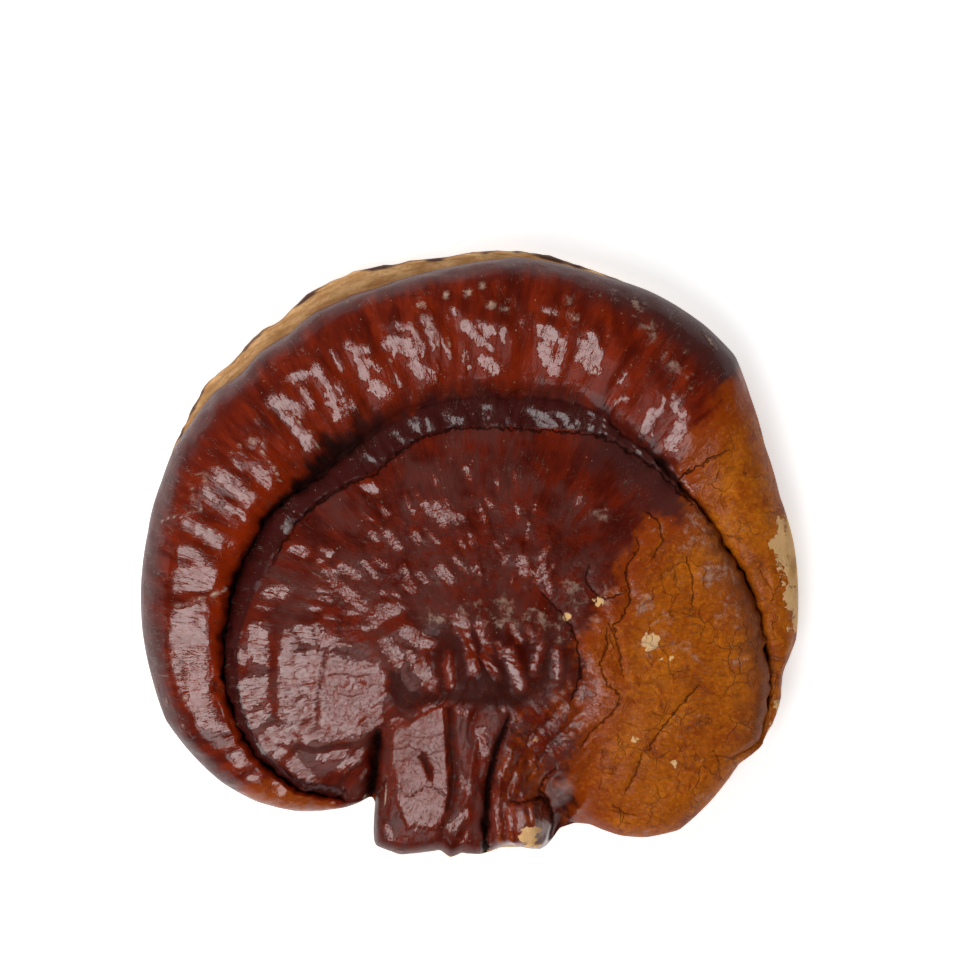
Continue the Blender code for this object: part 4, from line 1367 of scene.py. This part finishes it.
def floor_material(colours):
    material, n, shader = new_material("studio_floor")
    place = n.add("ShaderNodeTexCoord").outputs["Object"]
    n.feed(shader.inputs["Base Color"], n.mix(n.noise(place, 40, 2), colours.floor, FLOOR_MOTTLE))
    shader.inputs["Roughness"].default_value = FLOOR_ROUGHNESS
    shader.inputs["Emission Color"].default_value = (1, 1, 1, 1)
    shader.inputs["Emission Strength"].default_value = FLOOR_GLOW
    return material


# Settings

def colour_setting(name, description, value):
    return bpy.props.FloatVectorProperty(
        name=name, description=description, default=value, subtype="COLOR", size=3, min=0, max=1
    )


def length_setting(name, description, value):
    return bpy.props.FloatProperty(
        name=name, description=description, default=value, subtype="DISTANCE", unit="LENGTH"
    )


class ReishiSizes(bpy.types.PropertyGroup):
    """Sizes of the relief and of the stage"""

    fold_height: length_setting("Fold height", "Height of the folds that run out from the hub", 1.0 * MM)
    camera_height: length_setting("Camera height", "Height of the camera above the cap's edge", 0.64)
    softbox_side: length_setting("Softbox side", "Length of the main softbox", 0.38)


class ReishiColours(bpy.types.PropertyGroup):
    """Colours of the crust, the pore side and the floor"""

    lacquer: colour_setting("Lacquer", "Dark red of the disc", (0.165, 0.012, 0.002))
    # Dark lacquer: the disc's own dark blotches and streaks, and also the painted shade round the boss.
    lacquer_dark_and_shade: colour_setting("Dark lacquer", "Dark blotches of the disc", (0.055, 0.0034, 0.0012))
    # Bright lacquer: the crust's own bright streaks, and also a painted highlight tint where the coat
    # shines.
    lacquer_bright_and_highlight: colour_setting("Bright lacquer", "Bright streaks of the crust", (0.24, 0.02, 0.0015))
    roll: colour_setting("Roll", "Warm red of the roll", (0.245, 0.02, 0.0025))
    roll_dark: colour_setting("Dark roll", "Dark streaks of the roll", (0.11, 0.007, 0.0015))
    # Inner glow: partly the roll's own orange red, partly painted light on the left inner side, which faces
    # away from the softbox.
    inner_orange_and_painted_light: colour_setting("Inner glow", "Orange red of the roll's inner side", (0.34, 0.027, 0.0025))
    # Painted sheen: the greyish purple laid over the disc for its hazy reflection.
    painted_sheen: colour_setting("Veil", "Greyish purple veil on the disc", (0.12, 0.03, 0.023))
    # Painted shade: the dark red laid into hollows, between the boss's pleats, in deep cracks and on the
    # band under the boss.
    hollow: colour_setting("Hollow", "Dark red of the hollows between folds", (0.035, 0.0045, 0.0025))
    band: colour_setting("Band", "Purple brown between disc and roll", (0.05, 0.007, 0.006))
    # Dusky edge: the worn upper right's own grey purple, and also painted sheen along the roll's outer side.
    dusky_wear_and_sheen: colour_setting("Dusky edge", "Grey purple of the worn upper right", (0.072, 0.017, 0.014))
    ochre: colour_setting("Ochre", "Growing side of the cap", (0.43, 0.093, 0.003))
    amber: colour_setting("Amber", "Brighter blotches of the growing side", (0.62, 0.165, 0.006))
    russet: colour_setting("Russet", "Redder blotches of the growing side", (0.31, 0.045, 0.0022))
    gold: colour_setting("Gold", "Fine bright grain of the growing side", (0.78, 0.25, 0.018))
    umber: colour_setting("Umber", "Fine dark lines of the growing side", (0.12, 0.023, 0.004))
    margin: colour_setting("Margin", "Purple brown edge of the growing side", (0.19, 0.048, 0.016))
    cream: colour_setting("Cream", "Bare flesh where the crust has chipped", (0.92, 0.55, 0.25))
    tan: colour_setting("Tan", "Older bare flesh", (0.7, 0.37, 0.125))
    # Pale colour of worn places, scratches and specks: partly real wear, partly painted glints and sheen.
    dust: colour_setting("Dust", "Pale specks on the crust", (0.6, 0.415, 0.31))
    # Furrow: near black for the bottoms of cracks, and also the painted shade in the furrow, its gaps and
    # the deep cracks.
    furrow: colour_setting("Furrow", "Bottom of cracks and furrows", (0.016, 0.004, 0.003))
    split: colour_setting("Split", "Cracks of the growing side", (0.125, 0.028, 0.005))
    lip: colour_setting("Lip", "Pale lip under the roll", (0.99, 0.6, 0.27))
    # Lip layers: the lip's own darker layers, and also the painted shade at its root under the roll.
    lip_dark_and_shade: colour_setting("Lip layers", "Darker layers of the lip", (0.56, 0.22, 0.055))
    rim: colour_setting("Rim", "Brown outermost edge of the lip", (0.1, 0.036, 0.022))
    pores: colour_setting("Pores", "Underside with its pores", (0.42, 0.27, 0.15))
    floor: colour_setting("Floor", "Pale studio floor", (0.86, 0.86, 0.86))


# Operators

class REISHI_OT_crust(bpy.types.Operator):
    """Grow the lacquered cap with its roll, disc and stem"""

    bl_idname = "reishi.crust"
    bl_label = "Crust"

    def execute(self, context):
        sizes, colours = context.scene.reishi_sizes, context.scene.reishi_colours
        form = Form(segment_bearings(CRUST_SEGMENTS, STEM_DENSER))
        rings = form.crust_rings()
        skin = Skin("crust", CRUST_SEGMENTS, len(rings))
        radius, height, zone = ring_arrays(rings)
        plain, run = plain_skin(softened(radius, form, zone), softened(height, form, zone), form.bearings)
        points = plain + outward(plain) * folds(form, run, zone, sizes)[..., None]
        x, y = points[..., 0], points[..., 1]
        sculpted, masks = relief(x, y, zone)
        fade = eased((3.97 - zone) / 0.5)
        floor = np.minimum(form.edge_z[None, :] + 0.4 * MM, points[..., 2])
        shaped = points.copy()
        shaped[..., 2] += fade * sculpted
        near_hub = eased(np.hypot(x, y) / (4 * MM))
        ragged = 0.42 * plane_noise(x, y, 1.1, 83, 2) + 0.55 * grown(form, run, 50.0, 5, 87)
        spared = np.clip(np.maximum(masks["hollow"] * 1.1, masks["sunk"]), 0, 1)
        middle = middle_of_outline()
        shine = lean(shaped, zone, ragged * near_hub * MM, spared, middle, sizes)
        wrinkled = eased(inside_outline(x, y, RUSSET_PX) / (3 * MM) + 0.3)
        shaped[..., 2] += self.fine_relief(form, x, y, run, shine, wrinkled) * near_hub * MM
        points[..., 2] = np.where(zone < 4, np.maximum(shaped[..., 2], floor), points[..., 2])
        hub, foot = np.array([0, 0, points[0, :, 2].mean()]), np.array([0, 0, CRUST_FOOT])
        skin.shape(points - middle, hub - middle, foot - middle)
        masks["sunk"] = masks["sunk"] * fade
        masks.update(self.shine_masks(form, x, y, zone, shine, wrinkled))
        masks.update(self.colour_masks(form, x, y, zone, run, masks))
        masks.update(self.worn_masks(x, y))
        for name, values in masks.items():
            skin.store(name, values)
        turn = np.radians(form.bearings[None, :] * np.ones_like(x))
        spread = 50 * MM * even_spread(run)
        skin.store_place("growth", np.stack([np.cos(turn) * spread, np.sin(turn) * spread, run], axis=-1))
        skin.piece.data.materials.append(crust_material(colours))
        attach(skin.piece, BODY)
        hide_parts(NODE)
        return {"FINISHED"}

    def fine_relief(self, form, x, y, run, shine, wrinkled):
        """Unevenness in millimetres: a little everywhere, more where the crust shines, leathery on the
        ochre side and wrinkled beside the stem."""
        rough = 0.018 * plane_noise(x, y, 1.3, 101, 3, 0.42)
        rough += 0.016 * grown(form, run, 70.0, 4, 107, 1)
        uneven = 0.105 * plane_noise(x, y, 1.5, 109, 2)
        uneven += 0.17 * plane_noise(x, y, 3.1, 121)
        uneven += 0.090 * grown(form, run, 28.0, 3.2, 111, 1)
        uneven += 0.035 * grown(form, run, 40.0, 4.5, 117, 1)
        uneven *= shine
        uneven *= 1 - 0.55 * eased(inside_outline(x, y, FACES["trunk"]) / (1.0 * MM))
        leather = eased(inside_outline(x, y, OCHRE_PX) / (6 * MM))
        leather = leather * (0.045 * plane_noise(x, y, 1.0, 113, 2) + 0.12 * plane_noise(x, y, 3.4, 127, 2))
        leather += wrinkled * 0.13 * grown(form, run, 20.0, 6, 119, 3)
        return rough + uneven + leather

    def shine_masks(self, form, x, y, zone, shine, wrinkled):
        """Where the lacquer shines, where it is calm, where it is streaky, and where it thins out."""
        on_roll = eased((zone - 1.9) / 0.3) * form.ring[None, :]
        calm = (1 - on_roll * (0.40 - 0.36 * form.gentle[None, :])) * (1 - 0.55 * wrinkled)
        streaky = eased((np.hypot(x, y) / PX - 70) / 30) * between_bearings(form.bearings, 35, 172, 10)
        streaky = np.maximum((zone < 1) * streaky, 0.4 * on_roll)
        far = eased((np.hypot(x, y) - 3 * MM) / (9 * MM))
        edge = eased((zone - 3.3) / 0.6)
        return {"shine": shine, "calm": calm, "streaky": streaky, "warm": on_roll, "far": far, "edge": edge}

    def colour_masks(self, form, x, y, zone, run, masks):
        """Where the crust's colours lie, and where shade, sheen and light are painted on it, from the curves
        of the form and the outlines in the photograph.
        """
        ring, gentle = form.ring[None, :] * np.ones_like(x), form.gentle[None, :]

        def between(start, end, fade):
            return between_bearings(form.bearings[None, :] * np.ones_like(x), start, end, fade)

        wander = plane_noise(x, y, 3, 5, 3)
        swell = grown(form, run, 15.0, 8, 11)
        ragged = 0.10 * plane_noise(x, y, 1.5, 131, 3)

        inside = inside_outline(x, y, OCHRE_PX) + wander * 1.5 * MM
        ochre = np.clip(inside / (13 * MM) + 0.5, 0, 1)
        under_lobe = between(214, 233, 8) * eased((zone - 2.7) / 0.4) * 0.54
        reddish = eased((inside_outline(x, y, RUSSET_PX) + wander * 1.0 * MM) / (4 * MM) + 0.5) * 0.29
        crackled = np.clip(eased(inside / (6 * MM)) + 0.25 * wander, 0, 1)

        # Partly the roll's own orange red, partly painted light: made brighter on the left, where the inner
        # side faces away from the softbox.
        inner = within(zone, 2.10, 0.2, 2.98, 0.45) * ring * between(165, 222, 60)
        under = within(zone, 2.12, 0.12, 2.95, 0.3) * ring * gentle
        # Painted shade at the foot of the roll's inner side and between its lumps.
        gap_shade = 1 - eased((zone - 2.04) / 0.34 + 0.9 * swell)
        gap_shade *= within(zone, 1.98, 0.04, 2.9, 0.3) * ring
        # Painted shade: an oval round the boss is laid in the dark lacquer colour.
        shade = eased((0.30 - np.hypot((x - 4 * MM) / (30 * MM), (y - 1 * MM) / (18 * MM))) / 0.15)
        fingers = 0.35 * swell * between(50, 130, 20)
        band = within(zone, 0.99, 0.06, 2.08 + 0.6 * fingers, 0.13) * ring

        deep_left = between(122, 232, 22)
        # Painted shade along the bottom of the furrow between band and roll, most on the left and right.
        valley = bell((zone + ragged - 2.02) / 0.14) * ring
        valley = valley * (0.05 + 0.95 * np.maximum(deep_left, between(-20, 45, 15)))
        valley = np.maximum(valley, bell((zone + ragged + 0.22 * swell - 2.08) / 0.19) * ring * deep_left)
        deep = bell((zone - 2.04 + 0.04 * gentle) / (0.22 - 0.08 * gentle)) * ring

        # The worn upper right of the roll, and painted sheen in grey purple along the roll's outer side from
        # the top round to the left.
        dusky_wear_and_sheen = between(46, 66, 16) * eased((zone - 3.05) / 0.4 + 0.25 * wander) * ring
        outer = eased((zone - 3.26 + 0.10 * wander) / 0.35) * ring * between(60, 205, 12) * 0.78
        inward = between(28, 56, 12) * eased((zone - 0.82 + 0.06 * wander) / 0.14)
        dusky_wear_and_sheen = np.maximum(dusky_wear_and_sheen, inward * eased((1.9 - zone) / 0.2) * ring * 0.9)
        margin = eased((zone - 0.89 + 0.05 * wander) / 0.14) * eased((2.2 - zone) / 0.25)
        margin = margin * between(-17, 30, 12) * ring
        shown = 0.5 * between(262, 284, 4)
        return {
            "ochre": np.maximum(np.maximum(ochre, under_lobe), reddish),
            "crackle": crackled,
            "inner": np.maximum(inner, 0.28 * under),
            "gap_shade": gap_shade * between(30, 232, 20) * (0.8 - 0.68 * gentle),
            "shade": shade * 0.8,
            "band": band * 0.9,
            "sunk": np.clip(np.maximum(masks["sunk"], valley), 0, 1),
            "dull": np.clip(np.maximum(masks["dull"], deep), 0, 1),
            "dusky_wear_and_sheen": np.clip(np.maximum(dusky_wear_and_sheen, outer), 0, 1),
            "margin": np.clip(margin * (0.62 + 0.3 * wander), 0, 1),
            "stem": eased((-y / PX - 50) / 10) * between(225, 285, 6),
            "flesh": between(246, 288, 1.5) * eased((zone - 3.55 + shown) / 0.2),
        }

    def worn_masks(self, x, y):
        """Bare cream flesh, and pale places in patches and scratches, partly real wear, partly painted
        glints and sheen.
        """
        cream = np.clip(inside_outline(x, y, CREAM_EDGE_PX) / (2.0 * MM) + 0.5, 0, 1)
        for middle_px, reach in CREAM_SPOTS:
            cream = np.maximum(cream, np.clip(1.35 - spot(x, y, middle_px, reach), 0, 1))
        dusty = np.zeros_like(x)
        for middle_px, reach in DUSTY_SPOTS:
            strength = 0.95 if reach < 1.5 else 0.55
            dusty = np.maximum(dusty, np.clip(1.25 - spot(x, y, middle_px, reach), 0, 1) * strength)
        for route_px, half_width in SCRATCHES:
            distance, _, _ = along_route(x, y, route_px)
            dusty = np.maximum(dusty, bell(distance / (half_width * PX)))
        return {"cream": cream, "dusty": dusty}


class REISHI_OT_pore_side(bpy.types.Operator):
    """Add the pore side with the pale lip that stands out under the roll"""

    bl_idname = "reishi.pore_side"
    bl_label = "Pore side"

    def execute(self, context):
        colours = context.scene.reishi_colours
        form = Form(segment_bearings(PORE_SEGMENTS, PORE_STEM_DENSER))
        rings = form.pore_rings()
        skin = Skin("pore_side", PORE_SEGMENTS, len(rings))
        radius, height, zone = ring_arrays(rings)
        plain, run = plain_skin(radius, height, form.bearings)
        wavy = grown(form, run, 16.0, 4, 91, 3)
        on_lip = within(zone, 0.6, 0.4, 4.4, 1.0)
        layers = np.sin(run / (0.42 * MM) * 2 * math.pi + 3 * wavy) * (zone > 0.5) * (zone < 3)
        points = plain + outward(plain) * ((wavy * 0.34 + layers * 0.03) * on_lip * MM)[..., None]
        points[..., 2] = np.maximum(points[..., 2], 0)
        middle = middle_of_outline()
        top = np.array([0, 0, LIP_TOP + 0.5 * MM]) - middle
        skin.shape(points - middle, top, -middle)
        notches = np.maximum(grown(form, np.full_like(run, 0.06), 11.0, 1000, 97) + 0.12, 0)
        rim = eased((zone - 1.40 + 1.1 * np.minimum(notches, 0.4)) / 0.2) * eased((3.2 - zone) / 0.6)
        skin.store("rim", np.clip(rim * (0.66 + 0.9 * notches), 0, 1))
        # Painted shade: the lip is laid darker at its root, under the roll.
        skin.store("shaded", (1 - eased((zone - 0.62 + 0.1 * wavy) / 0.3)) * 0.8)
        skin.store("pores", eased((zone - 2.9) / 0.6))
        turn, spread = np.radians(form.bearings)[None, :] * np.ones_like(run), 60 * MM
        skin.store_place("growth", np.stack([np.cos(turn) * spread, np.sin(turn) * spread, run], axis=-1))
        skin.piece.data.materials.append(pore_material(colours))
        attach(skin.piece, BODY)
        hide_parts(NODE)
        return {"FINISHED"}


class REISHI_OT_stage(bpy.types.Operator):
    """Set the floor, the softboxes and the camera that looks straight down"""

    bl_idname = "reishi.stage"
    bl_label = "Stage"

    def execute(self, context):
        sizes, colours = context.scene.reishi_sizes, context.scene.reishi_colours
        bpy.ops.object.select_all(action="DESELECT")
        bpy.ops.mesh.primitive_plane_add(size=FLOOR_SIDE, location=(0, 0, 0))
        floor = context.active_object
        floor.name = "floor"
        floor.data.materials.append(floor_material(colours))
        self.add_softbox("main_softbox", SOFTBOX_PLACE, [sizes.softbox_side] * 2, SOFTBOX_POWER)
        for name, settings in FILLS.items():
            self.add_softbox(name, *settings)
        self.add_surroundings(context)
        self.add_camera(context, sizes)
        context.scene.view_settings.view_transform = "Standard"
        return {"FINISHED"}

    def add_surroundings(self, context):
        """Pale walls all round, dark above where the camera and the ceiling are."""
        world = bpy.data.worlds.new("studio")
        context.scene.world = world
        world.use_nodes = True
        n = Nodes(world.node_tree)
        direction = n.add("ShaderNodeTexCoord").outputs["Generated"]
        parts = n.add("ShaderNodeSeparateXYZ", {"Vector": direction}).outputs
        walls = n.spread(parts["Z"], 0.05, 0.40, 0.30, 0.05)
        brighter_left = n.spread(parts["X"], -0.7, 0.7, 1.2, 0.5)
        background = world.node_tree.nodes["Background"]
        background.inputs["Color"].default_value = (1, 1, 1, 1)
        n.feed(background.inputs["Strength"], n.times(walls, brighter_left))

    def add_softbox(self, name, place, sides, power, mirrored=True):
        bpy.ops.object.light_add(type="AREA", location=place)
        softbox = bpy.context.active_object
        softbox.name = name
        softbox.data.shape = "RECTANGLE"
        softbox.data.size, softbox.data.size_y = sides
        softbox.data.energy = power
        softbox.visible_glossy = mirrored
        softbox.rotation_euler = (Vector(SOFTBOX_AIM) - Vector(place)).to_track_quat("-Z", "Y").to_euler()

    def add_camera(self, context, sizes):
        bpy.ops.object.camera_add(location=camera_place(sizes), rotation=(0, 0, 0))
        camera = context.active_object
        camera.name = "camera"
        camera.data.sensor_width = SENSOR_WIDTH
        camera.data.lens = SENSOR_WIDTH * sizes.camera_height / (PHOTO_SIDE_PX * PX)
        camera.data.clip_start = 0.01
        context.scene.camera = camera


class REISHI_PT_panel(bpy.types.Panel):
    """Buttons for each piece and the stage"""

    bl_label = "Reishi mushroom"
    bl_idname = "REISHI_PT_panel"
    bl_space_type = "VIEW_3D"
    bl_region_type = "UI"
    bl_category = "Reishi"

    def draw(self, context):
        for settings in (context.scene.reishi_sizes, context.scene.reishi_colours):
            box = self.layout.box()
            for name in settings.__annotations__:
                box.prop(settings, name)
        for operator in OPERATORS:
            self.layout.operator(operator.bl_idname)


OPERATORS = (REISHI_OT_crust, REISHI_OT_pore_side, REISHI_OT_stage)
CLASSES = (ReishiSizes, ReishiColours, *OPERATORS, REISHI_PT_panel)


def register():
    for item in CLASSES:
        bpy.utils.register_class(item)
    bpy.types.Scene.reishi_sizes = bpy.props.PointerProperty(type=ReishiSizes)
    bpy.types.Scene.reishi_colours = bpy.props.PointerProperty(type=ReishiColours)


def unregister():
    del bpy.types.Scene.reishi_colours
    del bpy.types.Scene.reishi_sizes
    for item in reversed(CLASSES):
        bpy.utils.unregister_class(item)


def main():
    register()
    bpy.ops.reishi.crust()
    bpy.ops.reishi.pore_side()
    bpy.ops.reishi.stage()


if __name__ == "__main__":
    main()
